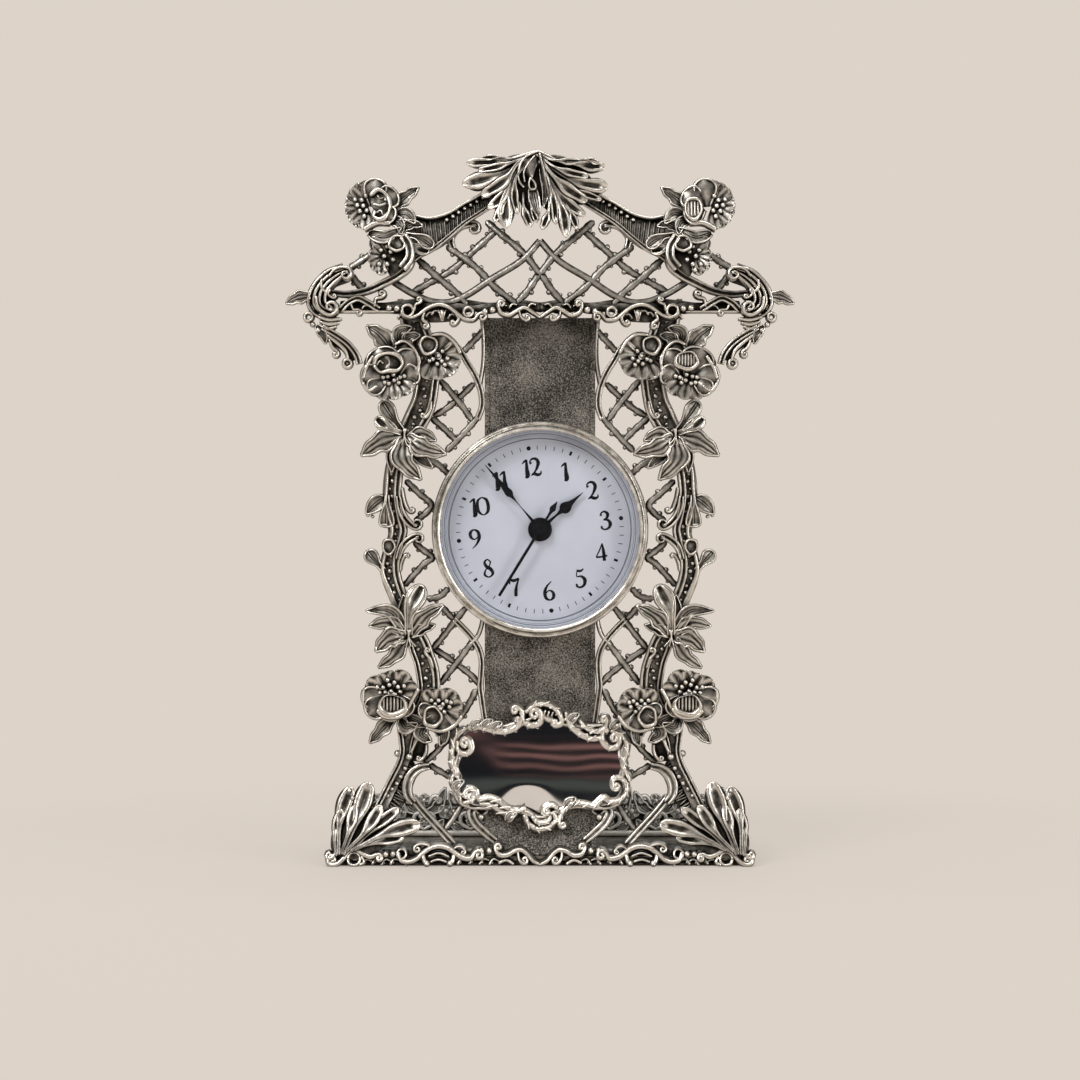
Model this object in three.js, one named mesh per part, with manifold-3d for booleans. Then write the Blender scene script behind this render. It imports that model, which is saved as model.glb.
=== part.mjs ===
// An openwork table clock: a cast, silvered front of trellis, flowers and scrolls that stands on a shallow
// base, with a round push-in quartz insert. Millimetres, +Z up. The dial faces -Y, and the origin is the
// middle of the underside.
import * as THREE from "three";
import { mergeVertices } from "three/addons/utils/BufferGeometryUtils.js";
import Module from "manifold-3d";

const wasm = await Module();
wasm.setup();

// Clearances
const FIT = 0.3; // between pieces that sit on or beside each other
const RUN = 0.25; // between pieces that turn in each other

// The casework as a whole
const BASE_WIDTH = 139;
const BASE_DEPTH = 62;
const DIAL_HEIGHT = 110.5;
const RAIL_HEIGHT = 182; // middle of the rail under the pediment
const PEDIMENT_WIDTH = 132; // along that rail
const CREST_HEIGHT = 235.5;
const TIP_REACH = 84; // of the leaf tip at each end of the pediment, from the middle

// The depth of the front, counted forward from the back of the trellis
const BAR_DEEP = 2.4; // trellis bars, and the panel behind the insert
const MOULD_DEEP = 3.8; // posts, arches and rails
const FLARE_TOP = 46; // height where the foot starts to flare forward
const FLARE_DEPTH = 11;
const OVERHANG_TOP = 220; // height where the pediment has leaned back to the waist's plane
const POST_LAP = 6; // of the posts behind the pediment's trellis
const MOULD_BACK = BAR_DEEP + FIT;
const LEAF_BACK = MOULD_BACK + MOULD_DEEP + FIT;
// Over the waist, at the rail: there the trellis clears what the posts carry.
const OVERHANG = LEAF_BACK / (1 - (POST_LAP / (OVERHANG_TOP - RAIL_HEIGHT)) ** 2);
const FRONT_Y = -BASE_DEPTH / 2 + MOULD_BACK + MOULD_DEEP + FLARE_DEPTH; // the back of the trellis

// The base
const FLOOR_THICK = 3;
const SKIRT_THICK = 2.6;
const SKIRT_HEIGHT = 16;
const SKIRT_FOOT = 3.2; // height of its foot bar
const SKIRT_CAP = 2; // height of its top bar
const SKIRT_INSET = 1.5; // of the side walls, from the ends of the front rail
const BASE_RAIL_HEIGHT = 8;

// The waist
const PANEL_HALF = 18.4;
const PANEL_EDGE = 1.4; // raised rib along each side of the panel
const POST_HALF = 3.3;
const POST_GAP = 9.6; // from the insert's rim to the line of the post where it is closest
const BAR_HALF = 1;
const BAR_THICK = 1.4; // crossing bars lie in two layers, each let into the other

// The plaque
const PLAQUE_HEIGHT = 32; // middle
const PLAQUE_HALF = 27;
const PLAQUE_RISE = 13.5; // half its height at the sides
const PLAQUE_THICK = 1.4;
const PLAQUE_FRAME = 3.2;
const PLAQUE_STEPS = 40; // round its outline

// The insert, counted back from the face of the collar that its rim sits on
const DIAL_RADIUS = 31.6;
const DIAL_THICK = 0.8;
const DIAL_SET = 1.6; // of the dial's face behind the back of the rim
const DIAL_LAP = 0.4; // of the dial over the edge of the cup
const RIM_REACH = 4.4; // of the rim beyond the dial
const BEZEL_RADIUS = DIAL_RADIUS + RIM_REACH;
const BEZEL_DEEP = 6.4;
const BEZEL_WALL = 2.2;
const BEZEL_LIP = 1.1; // of the rim over the glass
const LENS_THICK = 1.5;
const LENS_SET = 1.4; // of the glass behind the front of the rim
const COLLAR_WALL = 2.2;
const COLLAR_DEEP = 9;
const CUP_RADIUS = DIAL_RADIUS - DIAL_LAP;
const CUP_WALL = 1.4;
const CUP_DEEP = 21;
const REFLECTOR_LAP = 0.9; // of the reflector over the dial's edge
const RING_DEEP = 5; // rubber ring that grips the collar
const RING_THICK = 0.9;
const DIAL_TURN = THREE.MathUtils.degToRad(8); // the insert is seated turned a little, anticlockwise

// The hands, and the time that they show
const HOUR_LONG = 18.9;
const MINUTE_LONG = 28.2;
const SECOND_LONG = 25.9;
const SECOND_TAIL = 10.9;
const HAND_THICK = 0.5;
const HAND_STEP = 1.05; // from one hand to the next
const BOSS_RADIUS = 4;
const SHOWN_SECONDS = 36.6;
const SHOWN_MINUTES = 54 + SHOWN_SECONDS / 60;
const SHOWN_HOURS = 1 + SHOWN_MINUTES / 60;

// The wheels
const SECOND_ARBOR = 0.6;
const PIPE_WALL = 0.6;
const WHEEL_THICK = 1.1;
const WHEEL_STEP = 1.5; // from one wheel's layer to the next
const TRAIN_MODULE = 0.26; // centre wheel and third pinion
const MOTION_MODULE = 0.42;
const CENTRE_TEETH = 48;
const THIRD_PINION_TEETH = 6;
const THIRD_TEETH = 45;
const SECOND_PINION_TEETH = 6;
const SECOND_TEETH = 24;
const SECOND_MODULE = 0.4;
const CANNON_TEETH = 10;
const MOTION_TEETH = 30;
const MOTION_PINION_TEETH = 8;
const HOUR_TEETH = 32;
const ARBOR_RADIUS = 0.9; // of the setting arbor and the third wheel

// The cell, its cover and the setting knob
const CELL_RADIUS = 6;
const CELL_LONG = 30.2;
const CELL_DROP = 14.5; // below the middle of the dial
const KNOB_RADIUS = 5;
const KNOB_DEEP = 4.5;
const COVER_THICK = 1.5;
const BAY_SIDE = 2.2; // room past each end of the cell
const BAY_EDGE = 1.2; // room above and below the cell
const CONTACT_THICK = 0.6;
const CONTACT_WIDE = 8;

// The motor and its board, above the wheels
const BOARD_WIDE = 30;
const BOARD_HIGH = 9;
const BOARD_THICK = 1.2;
const BOARD_EDGE = 1.2; // from its upper corners to the wall of the cup
const COIL_RADIUS = 2.2;
const COIL_LONG = 15;
const CORE_LONG = 26;
const CORE_THICK = 1.6;
const CORE_HIGH = 3;

const ROUND = 28; // facets round the insert and its collar
const TAU = Math.PI * 2;
const WAIST = BEZEL_RADIUS + POST_GAP; // line of the posts at the height of the dial
const SIDES = { left: -1, right: 1 };
const polar = (reach, angle) => [reach * Math.cos(angle), reach * Math.sin(angle)];
const lerp = (a, b, share) => a + (b - a) * share;

// Solids

// A closed solid from points and triangles, with its faces turned out.
function solidFrom(points, triangles) {
  const vertProperties = new Float32Array(points.flat());
  const make = (triVerts) => new wasm.Manifold(new wasm.Mesh({ numProp: 3, vertProperties, triVerts }));
  const made = make(new Uint32Array(triangles.flat()));
  if (made.volume() > 0) return made;
  return make(new Uint32Array(triangles.map(([a, b, c]) => [a, c, b]).flat()));
}

// A three.js geometry as a solid.
function solidOf(geometry) {
  const bare = geometry.clone();
  bare.deleteAttribute("normal");
  bare.deleteAttribute("uv");
  const merged = mergeVertices(bare, 1e-4);
  const place = merged.getAttribute("position");
  const points = [];
  for (let i = 0; i < place.count; i++) points.push([place.getX(i), place.getY(i), place.getZ(i)]);
  const triangles = [];
  for (let i = 0; i < merged.index.count; i += 3) triangles.push([...merged.index.array.slice(i, i + 3)]);
  return solidFrom(points, triangles);
}

const fuse = (solids) => solids.reduce((all, next) => all.add(next));

function geometryOf(solid) {
  const mesh = solid.getMesh();
  const geometry = new THREE.BufferGeometry();
  geometry.setAttribute("position", new THREE.BufferAttribute(mesh.vertProperties, 3));
  geometry.setIndex(new THREE.BufferAttribute(mesh.triVerts, 1));
  geometry.computeVertexNormals();
  return geometry;
}

// A body through rings of points that share one section, closed by a flat cap at each end.
function skin(rings, section) {
  const n = section.length;
  const triangles = [];
  for (let i = 0; i + 1 < rings.length; i++) {
    for (let j = 0; j < n; j++) {
      const here = i * n + j;
      const next = i * n + ((j + 1) % n);
      triangles.push([here, next, here + n], [next, next + n, here + n]);
    }
  }
  const flat = section.map(([u, v]) => new THREE.Vector2(u, v));
  const backward = THREE.ShapeUtils.isClockWise(flat);
  const last = (rings.length - 1) * n;
  for (const [a, p, q] of THREE.ShapeUtils.triangulateShape(flat, [])) {
    const [b, c] = backward ? [q, p] : [p, q];
    triangles.push([a, c, b], [last + a, last + b, last + c]);
  }
  return solidFrom(rings.flat(), triangles);
}

// The two curved planes of the front: the waist flares forward at its foot, and the pediment leans over.
// Each takes a place across, a height and a depth forward from the back of the trellis.
function onWaist(x, z, forward) {
  const share = THREE.MathUtils.clamp((FLARE_TOP - z) / FLARE_TOP, 0, 1);
  return [x, FRONT_Y - forward - FLARE_DEPTH * share ** 2, z];
}

function onPediment(x, z, forward) {
  const share = THREE.MathUtils.clamp((z - RAIL_HEIGHT) / (OVERHANG_TOP - RAIL_HEIGHT), 0, 1);
  return [x, FRONT_Y - forward - OVERHANG * (1 - share ** 2), z];
}

// Sections are closed lists of [across, forward], for a half width and a height of 1.
const RIDGE = [[-1, 0], [0, 1], [1, 0]];
const KEEL = [[-1, 0.5], [0, 0], [1, 0.5], [0, 1]];
const RIB = [[-1, 0], [-0.5, 1], [0.5, 1], [1, 0]];
const CHANNEL = [[-1, 0], [-0.85, 1], [-0.45, 0.55], [0.45, 0.55], [0.85, 1], [1, 0]];

// A moulding along a line of stations, each {x, z, t, w, h}: its place, depth, half width and height.
function sweep(place, stations, section) {
  const rings = stations.map((at, i) => {
    const before = stations[Math.max(i - 1, 0)];
    const after = stations[Math.min(i + 1, stations.length - 1)];
    const run = Math.hypot(after.x - before.x, after.z - before.z);
    const across = [-(after.z - before.z) / run, (after.x - before.x) / run];
    return section.map(([u, v]) =>
      place(at.x + across[0] * u * at.w, at.z + across[1] * u * at.w, at.t + v * at.h),
    );
  });
  return skin(rings, section);
}

// Stations at even steps on a smooth line through [x, z] points. Width and height may vary along it.
function stationsOn(points, count, t, w, h) {
  const corners = points.map(([x, z]) => new THREE.Vector3(x, 0, z));
  const line = new THREE.CatmullRomCurve3(corners, false, "centripetal");
  const value = (size, s) => (typeof size === "function" ? size(s) : size);
  return line.getSpacedPoints(count).map((p, i) => {
    const s = i / count;
    return { x: p.x, z: p.z, t: value(t, s), w: value(w, s), h: value(h, s) };
  });
}

// A trellis bar along [x, z] points, in the back layer, 0, the front layer, 1, or between them. It has enough
// spans to follow the curve of the front.
function bar(place, points, spans, layer) {
  const stations = stationsOn(points, spans, layer * (BAR_DEEP - BAR_THICK), BAR_HALF, BAR_THICK);
  return sweep(place, stations, RIDGE);
}

// Points of a roll that winds in from its rim: its middle, radius, first angle and signed turns.
function roll(x, z, radius, start, turns, count = 6) {
  return Array.from({ length: count + 1 }, (_, i) => {
    const share = i / count;
    const angle = start + turns * TAU * share;
    const r = radius * (1 - 0.72 * share);
    return [x + r * Math.cos(angle), z + r * Math.sin(angle)];
  });
}

// A leaf blade from its root to its tip, lifted towards the front in the middle. Its half width along the
// way follows an outline: a lance for leaves, a spoon for the lobes of an acanthus and for buds.
const LANCE = [0.35, 1, 0.8, 0.12];
const SPOON = [0.3, 0.65, 1, 0.5];
const LEAF = { t: LEAF_BACK, lift: 1.6, thick: 1.6, outline: LANCE, bend: 0, section: KEEL };
function blade(place, root, tip, half, look = {}) {
  const { t, lift, thick, outline, bend, section } = { ...LEAF, ...look };
  const run = [tip[0] - root[0], tip[1] - root[1]];
  const stations = outline.map((share, i) => {
    const s = i / (outline.length - 1);
    const bow = bend * Math.sin(Math.PI * s);
    const x = root[0] + run[0] * s - run[1] * bow;
    const z = root[1] + run[1] * s + run[0] * bow;
    return { x, z, t: t + lift * Math.sin(Math.PI * s), w: half * share, h: thick };
  });
  return sweep(place, stations, section);
}

// A round boss that ties the roots of a spray together.
function boss(place, x, z, radius, high) {
  const count = 8;
  const section = Array.from({ length: count }, (_, j) => polar(1, (j / count) * TAU));
  const rings = [[1, 0], [0.95, 0.6], [0.45, 1]].map(([share, up]) =>
    section.map(([u, v]) => place(x + u * share * radius, z + v * share * radius, LEAF_BACK + up * high)),
  );
  return skin(rings, section);
}

// An open poppy: a cup of five waved petals with a knob of stamens, turned to face a direction in the plane.
const PETALS = 5;
const CUP_RINGS = [[0.26, 0, 0], [1, 0.58, 0.1], [0.45, 0.24, 0], [0.18, 0.46, 0]];
function flower(place, x, z, radius, facing, lean = 0.5) {
  const count = PETALS * 2;
  const [cosF, sinF] = [Math.cos(facing), Math.sin(facing)];
  const rings = CUP_RINGS.map(([share, height, wave]) =>
    Array.from({ length: count }, (_, j) => {
      const angle = (j / count) * TAU;
      const out = radius * share * (1 + wave * Math.cos(PETALS * angle));
      const along = out * Math.cos(angle);
      const side = out * Math.sin(angle);
      const up = radius * height;
      const tilted = along * Math.cos(lean) + up * Math.sin(lean);
      const forward = up * Math.cos(lean) - along * Math.sin(lean);
      return [tilted * cosF - side * sinF, tilted * sinF + side * cosF, forward];
    }),
  );
  const low = Math.min(...rings.flat().map((p) => p[2]));
  const section = Array.from({ length: count }, (_, j) => polar(1, (j / count) * TAU));
  const seated = rings.map((ring) => ring.map((p) => place(x + p[0], z + p[1], LEAF_BACK + p[2] - low)));
  return skin(seated, section);
}

// Pieces of the insert are turned about its middle, with Y counted back from the collar's face.

// A piece turned about Y from a closed profile of [radius, y].
function turned(profile, segments) {
  const points = [...profile, profile[0]].map(([r, y]) => new THREE.Vector2(r, y));
  return solidOf(new THREE.LatheGeometry(points, segments));
}

// A round rod along Y, or a tube where it has a bore.
function rod(radius, from, to, { bore = 0, segments = 8, x = 0, z = 0 } = {}) {
  const outside = new THREE.CylinderGeometry(radius, radius, to - from, segments);
  const made = solidOf(outside.translate(x, (from + to) / 2, z));
  if (!bore) return made;
  const inside = new THREE.CylinderGeometry(bore, bore, to - from + 2, segments);
  return made.subtract(solidOf(inside.translate(x, (from + to) / 2, z)));
}

// A flat outline in the plane of the dial, as a plate from one depth to another.
function plate(shape, from, to) {
  const made = new THREE.ExtrudeGeometry(shape, { depth: to - from, bevelEnabled: false, curveSegments: 4 });
  return solidOf(made.rotateX(Math.PI / 2).translate(0, to, 0));
}

function block(width, deep, high, x, y, z) {
  return solidOf(new THREE.BoxGeometry(width, deep, high).translate(x, y, z));
}

// A spur wheel with plain pointed teeth, one of them pointing at an angle.
function toothed(teeth, module, from, to, pointing, x = 0, z = 0) {
  const pitch = TAU / teeth;
  const root = module * (teeth / 2 - 1.05);
  const tip = module * (teeth / 2 + 0.65);
  const corners = [[-0.5, root], [0, tip]];
  const shape = new THREE.Shape();
  for (let i = 0; i < teeth; i++) {
    corners.forEach(([share, r], k) => {
      const angle = pointing + (i + share) * pitch;
      const [px, pz] = [x + r * Math.cos(angle), z + r * Math.sin(angle)];
      if (i + k === 0) shape.moveTo(px, pz);
      else shape.lineTo(px, pz);
    });
  }
  return plate(shape, from, to);
}

// Materials

const finish = (values) => new THREE.MeshStandardMaterial(values);
const material = (color, roughness, metalness) => finish({ color, roughness, metalness });
const SILVER = material(0xb5aea2, 0.32, 1);
const STIPPLED = material(0x57524c, 0.7, 0.8);
const MIRROR = material(0xc9c6c2, 0.05, 1);
const POLISHED = material(0xcfc8bc, 0.15, 1);
const GLASS = finish({ color: 0xffffff, roughness: 0.02, transparent: true, opacity: 0.2 });
const ENAMEL = material(0xd4d4de, 0.5, 0);
const BLACK = material(0x0c0c0e, 0.4, 0);
const PLASTIC = material(0x1b1b1d, 0.55, 0);
const WHITE_PLASTIC = material(0xd8d6cf, 0.5, 0);
const RUBBER = material(0x161616, 0.9, 0);
const BRASS = material(0xb08d3e, 0.35, 1);
const STEEL = material(0xa8a8aa, 0.3, 1);
const COPPER = material(0xa8623c, 0.4, 1);
const BOARD = material(0x2f5d3a, 0.6, 0);
const CELL = material(0x7d2b2b, 0.35, 0.4);

const clock = new THREE.Group();
const casework = new THREE.Group();
const insert = new THREE.Group();
clock.add(casework, insert);

function add(group, name, solid, look) {
  const mesh = new THREE.Mesh(geometryOf(solid), look);
  mesh.name = name;
  group.add(mesh);
  return mesh;
}

// The base: a floor, a low wall of leaves on three sides, and the scrolled rail of the front

const FLOOR_FRONT = onWaist(0, FLOOR_THICK, MOULD_BACK)[1] + FIT; // just behind the base rail
const FLOOR_BACK = BASE_DEPTH / 2 - SKIRT_THICK - FIT;
const FLOOR_HALF = BASE_WIDTH / 2 - SKIRT_THICK - FIT - SKIRT_INSET;

function baseFloor() {
  const deep = FLOOR_BACK - FLOOR_FRONT;
  return block(FLOOR_HALF * 2, deep, FLOOR_THICK, 0, FLOOR_FRONT + deep / 2, FLOOR_THICK / 2);
}

const LOZENGE = [0.3, 1, 0.3];
// A low wall: a foot bar and a top bar with a row of leaves between them, alternately up and down.
function skirt(place, from, to, leaves) {
  const step = (to - from) / leaves;
  const capAt = SKIRT_HEIGHT - SKIRT_CAP / 2;
  const foot = [from, to].map((x) => ({ x, z: SKIRT_FOOT / 2, t: 0, w: SKIRT_FOOT / 2, h: SKIRT_THICK }));
  const top = [from, to].map((x) => ({ x, z: capAt, t: 0.4, w: SKIRT_CAP / 2, h: SKIRT_THICK - 0.8 }));
  const pieces = [sweep(place, foot, RIDGE), sweep(place, top, RIDGE)];
  const ends = [SKIRT_FOOT / 2 - 0.4, capAt + 0.4];
  for (let i = 0; i < leaves; i++) {
    const x = from + step * (i + 0.5);
    const [root, tip] = i % 2 ? [ends[1], ends[0]] : ends;
    const look = { t: 0.2, lift: 0, thick: SKIRT_THICK - 0.4, outline: LOZENGE, section: RIDGE };
    pieces.push(blade(place, [x, root], [x, tip], step * 0.42, look));
  }
  return fuse(pieces);
}

// A scrolled rail: a straight foot bar with a row of S-scrolls standing on it, mirrored about the middle.
const RAIL_BAR_HALF = 1.2;
function scrollRail(place, half, foot, rollRadius, modules) {
  const barZ = foot + RAIL_BAR_HALF;
  const high = MOULD_DEEP - 0.8;
  const straight = [-half, half].map((x) => ({ x, z: barZ, t: MOULD_BACK, w: RAIL_BAR_HALF, h: high }));
  const pieces = [sweep(place, straight, RIB)];
  const long = half / modules;
  const z = foot + RAIL_BAR_HALF * 2 + rollRadius * 1.25;
  for (const side of Object.values(SIDES)) {
    for (let i = 0; i < modules; i++) {
      const from = i * long + rollRadius * 1.1;
      const to = (i + 1) * long - rollRadius * 1.1;
      const up = (i % 2 ? -1 : 1) * rollRadius * 0.35;
      const line = [
        ...roll(from, z - up, rollRadius, up > 0 ? -Math.PI / 2 : Math.PI / 2, up > 0 ? -0.9 : 0.9).reverse(),
        ...roll(to, z + up, rollRadius, up > 0 ? Math.PI / 2 : -Math.PI / 2, up > 0 ? -0.9 : 0.9),
      ].map(([x, h]) => [side * x, h]);
      const deep = MOULD_DEEP * 0.7;
      const width = (s) => 0.55 + 0.35 * Math.sin(Math.PI * s);
      pieces.push(sweep(place, stationsOn(line, 11, MOULD_BACK + MOULD_DEEP - deep, width, deep), RIDGE));
    }
  }
  return fuse(pieces);
}

const BASE_RAIL_HALF = BASE_WIDTH / 2;
const BASE_ROLL = (BASE_RAIL_HEIGHT - RAIL_BAR_HALF * 2) / 2.5;
add(casework, "base_plate", baseFloor(), SILVER);
add(
  casework,
  "base_front_rail",
  scrollRail(onWaist, BASE_RAIL_HALF, 0, BASE_ROLL, 3),
  SILVER,
);
const atRear = (x, z, t) => [x, BASE_DEPTH / 2 - SKIRT_THICK + t, z];
add(casework, "base_rear_gallery", skirt(atRear, -FLOOR_HALF, FLOOR_HALF, 7), SILVER);
for (const [side, sign] of Object.entries(SIDES)) {
  const atSide = (y, z, t) => [sign * (FLOOR_HALF + FIT + t), y, z];
  add(casework, `base_side_skirt_${side}`, skirt(atSide, FLOOR_FRONT + 2, FLOOR_BACK, 3), SILVER);
}

// The centre panel, with the collar that takes the insert cast into it

const COLLAR_BORE = CUP_RADIUS + RING_THICK + FIT;
const COLLAR_RADIUS = COLLAR_BORE + COLLAR_WALL;
const COLLAR_FACE = FRONT_Y - BAR_DEEP; // the insert's rim sits here
const PANEL_TOP = RAIL_HEIGHT - 1;

function centrePanel() {
  const edge = 1 - PANEL_EDGE / PANEL_HALF;
  const section = [[-1, 0], [-1, 1], [-edge, 1], [-edge, 0.7], [edge, 0.7], [edge, 1], [1, 1], [1, 0]];
  const heights = [FLOOR_THICK + FIT, 12, 20, 28, 36, FLARE_TOP, PANEL_TOP];
  const strip = sweep(onWaist, heights.map((z) => ({ x: 0, z, t: 0, w: PANEL_HALF, h: BAR_DEEP })), section);
  const far = COLLAR_FACE + COLLAR_DEEP;
  const collar = rod(COLLAR_RADIUS, COLLAR_FACE, far, { segments: ROUND, z: DIAL_HEIGHT });
  const bore = rod(COLLAR_BORE, COLLAR_FACE - 5, far + 5, { segments: ROUND, z: DIAL_HEIGHT });
  return strip.add(collar).subtract(bore);
}
add(casework, "centre_panel", centrePanel(), STIPPLED);

// The posts: channelled S-mouldings from the pediment to the corners of the base

// Heights are from the middle of the dial, and places across from the line of the posts there.
const POST_LINE = [
  [0, 0], [3.4, 10.5], [2.7, 19.5], [-0.9, 29.4], [-5.2, 39.3], [-8.1, 49.9], [-7.4, 57], [-3.2, 66],
];
const POST_RUN = POST_LINE[POST_LINE.length - 1][1]; // from the middle of the dial to its ends
const POST_TOP = RAIL_HEIGHT + POST_LAP;
const POST_FOOT = BASE_RAIL_HEIGHT + FIT + 0.5;
const FOOT_REACH = BASE_WIDTH / 2 - 10; // where the post meets the base rail

function postRoute(side) {
  const upper = POST_LINE.map(([dx, dz]) => [side * (WAIST + dx), DIAL_HEIGHT + dz]);
  const lower = POST_LINE.slice(1, -1).map(([dx, dz]) => [side * (WAIST + dx), DIAL_HEIGHT - dz]);
  const shin = DIAL_HEIGHT - POST_RUN;
  const foot = [
    [side * (WAIST - 2.4), shin],
    [side * lerp(WAIST, FOOT_REACH, 0.45), lerp(shin, POST_FOOT, 0.55)],
    [side * FOOT_REACH, POST_FOOT],
  ];
  return [[side * (WAIST - 2), POST_TOP], ...upper.reverse(), ...lower, ...foot];
}

// Pairs of buds on the outer edge, and the two curls that run in to the insert's rim, mirrored up and down.
function post(side) {
  const width = (s) => POST_HALF * (1 - 0.25 * Math.exp(-(((s - 0.44) / 0.04) ** 2)));
  const stations = stationsOn(postRoute(side), 20, MOULD_BACK, width, MOULD_DEEP);
  const pieces = [sweep(onWaist, stations, CHANNEL)];
  const edge = BEZEL_RADIUS + FIT + 1.6;
  for (const up of [1, -1]) {
    const at = (x, dz) => [side * x, DIAL_HEIGHT + up * dz];
    const curl = [at(WAIST + 0.5, 19), at(WAIST - 0.2, 11), at(lerp(WAIST, edge, 0.5), 4), at(edge, 2.6)];
    const look = { t: MOULD_BACK, lift: 0.6, thick: MOULD_DEEP - 0.6, outline: SPOON };
    pieces.push(sweep(onWaist, stationsOn(curl, 4, MOULD_BACK, 1.3, MOULD_DEEP), RIB));
    pieces.push(blade(onWaist, at(WAIST + 3.4, 14), at(WAIST + 10.7, 6.6), 2, look));
    pieces.push(blade(onWaist, at(WAIST + 3, 10), at(WAIST + 5.4, 3.2), 1.9, look));
  }
  return fuse(pieces);
}

// The trellis beside the panel: bars between the panel's edge and a spine behind the post

const AROUND_DIAL = { segments: ROUND, z: DIAL_HEIGHT };
const KEEP_OUT = rod(COLLAR_RADIUS + FIT, COLLAR_FACE - BASE_DEPTH, COLLAR_FACE + BASE_DEPTH, AROUND_DIAL);
const TRELLIS_EDGE = PANEL_HALF + FIT + BAR_HALF;

function sideTrellis(side, up) {
  // Shares run from the panel's edge, 0, to the line of the posts, 1.
  const at = ([share, dz]) => [side * lerp(TRELLIS_EDGE, WAIST, share), DIAL_HEIGHT + up * dz];
  const arc = [[0.4, 64.5], [0.13, 58], [0, 47], [0, 40], [0.12, 34], [0.42, 26]].map(at);
  const route = [[0.8, 2], ...POST_LINE.slice(1, -1)];
  const spine = route.map(([dx, dz]) => [side * (WAIST + dx), DIAL_HEIGHT + up * dz]);
  const back = [[[0.69, 53], [0, 36]], [[0.82, 40], [0.16, 24]], [[1.1, 17], [0.48, 4.5]]];
  const front = [[[0.02, 50], [0.78, 38]], [[0.03, 66], [0.7, 52]], [[1.04, 4], [0.42, 13]]];
  const pieces = [
    bar(onWaist, arc, 6, 0.5),
    bar(onWaist, spine, 5, 0.5),
    ...back.map((ends) => bar(onWaist, ends.map(at), 1, 0)),
    ...front.map((ends) => bar(onWaist, ends.map(at), 1, 1)),
  ];
  return fuse(pieces).subtract(KEEP_OUT);
}

// The trellis of the flared foot, on a spine behind the lower end of the post.
function footTrellis(side) {
  const at = ([share, z]) => [side * lerp(TRELLIS_EDGE, FOOT_REACH, share), z];
  const low = FLOOR_THICK + FIT + 1.2;
  const spine = [[0.46, 50], [0.62, 42], [0.7, 30], [0.84, 18], [0.97, 8]].map(at);
  const loop = [[0.36, 33], [0.53, 30.5], [0.58, 24], [0.53, 19.5], [0.24, low]].map(at);
  const back = [[[0.64, 40], [0.02, 22]], [[0.02, 19], [0.4, low]], [[0.62, 42], [0, 37]]];
  const front = [[[0.02, 29], [0.7, 33]], [[0.12, low], [0.74, 27]], [[0.5, low], [0.82, 20]]];
  const pieces = [
    bar(onWaist, spine, 5, 0.5),
    bar(onWaist, loop, 7, 0.5),
    ...back.map((ends) => bar(onWaist, ends.map(at), 2, 0)),
    ...front.map((ends) => bar(onWaist, ends.map(at), 2, 1)),
  ];
  return fuse(pieces);
}

// A spray of five leaves tied over the post.
const SPRAY = [[8.6, 8.9, 1.7], [9.6, 3.4, 1.6], [13.2, -7.3, 2.6], [-13, -6.6, 2.6], [-6.9, -15.2, 2.6]];
function spray(side, up) {
  const root = [side * (WAIST - 0.6), DIAL_HEIGHT + up * 32];
  const leaves = SPRAY.map(([dx, dz, half]) =>
    blade(onWaist, root, [root[0] + side * dx, root[1] + up * dz], half, { lift: 2 }),
  );
  return fuse([boss(onWaist, ...root, 2.2, 3), ...leaves]);
}

// Two poppies on a stem with their leaves. Each flower is [from the line of the posts, height, radius].
function flowerPair(place, side, flowers, leaves, facing) {
  const points = flowers.map(([dx, z]) => [side * (WAIST + dx), z]);
  const blooms = flowers.map(([, , radius], i) => flower(place, points[i][0], points[i][1], radius, facing));
  const stem = sweep(place, stationsOn(points, 1, LEAF_BACK, 1.4, 2.2), RIDGE);
  const blades = leaves.map(([from, dx, dz, half]) => {
    const root = points[from];
    return blade(place, root, [root[0] + side * dx, root[1] + dz], half, { lift: 0 });
  });
  return fuse([...blooms, stem, ...blades]);
}

for (const [side, sign] of Object.entries(SIDES)) {
  add(casework, `post_${side}`, post(sign), SILVER);
  add(casework, `foot_trellis_${side}`, footTrellis(sign), SILVER);
  for (const [end, up] of Object.entries({ upper: 1, lower: -1 })) {
    add(casework, `side_trellis_${end}_${side}`, sideTrellis(sign, up), SILVER);
    add(casework, `leaf_spray_${end}_${side}`, spray(sign, up), SILVER);
  }
  const shoulder = [[4.7, DIAL_HEIGHT + 52.5, 8.9], [-12.8, DIAL_HEIGHT + 58, 7.3]];
  const hip = [[4.1, DIAL_HEIGHT - 54.7, 8.9], [-12.8, DIAL_HEIGHT - 58.6, 7.3]];
  const shoulderLeaves = [[0, 6.3, 13, 2.2], [1, 2.4, 8, 2]];
  const hipLeaves = [[0, 5.6, -13.5, 2.2], [1, 3, -11, 2]];
  const up = Math.PI / 2;
  add(casework, `shoulder_flowers_${side}`, flowerPair(onWaist, sign, shoulder, shoulderLeaves, -up), SILVER);
  add(casework, `hip_flowers_${side}`, flowerPair(onWaist, sign, hip, hipLeaves, up), SILVER);
}

// The corners of the base: a fan of acanthus lobes that rises from each end of the rail

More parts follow.
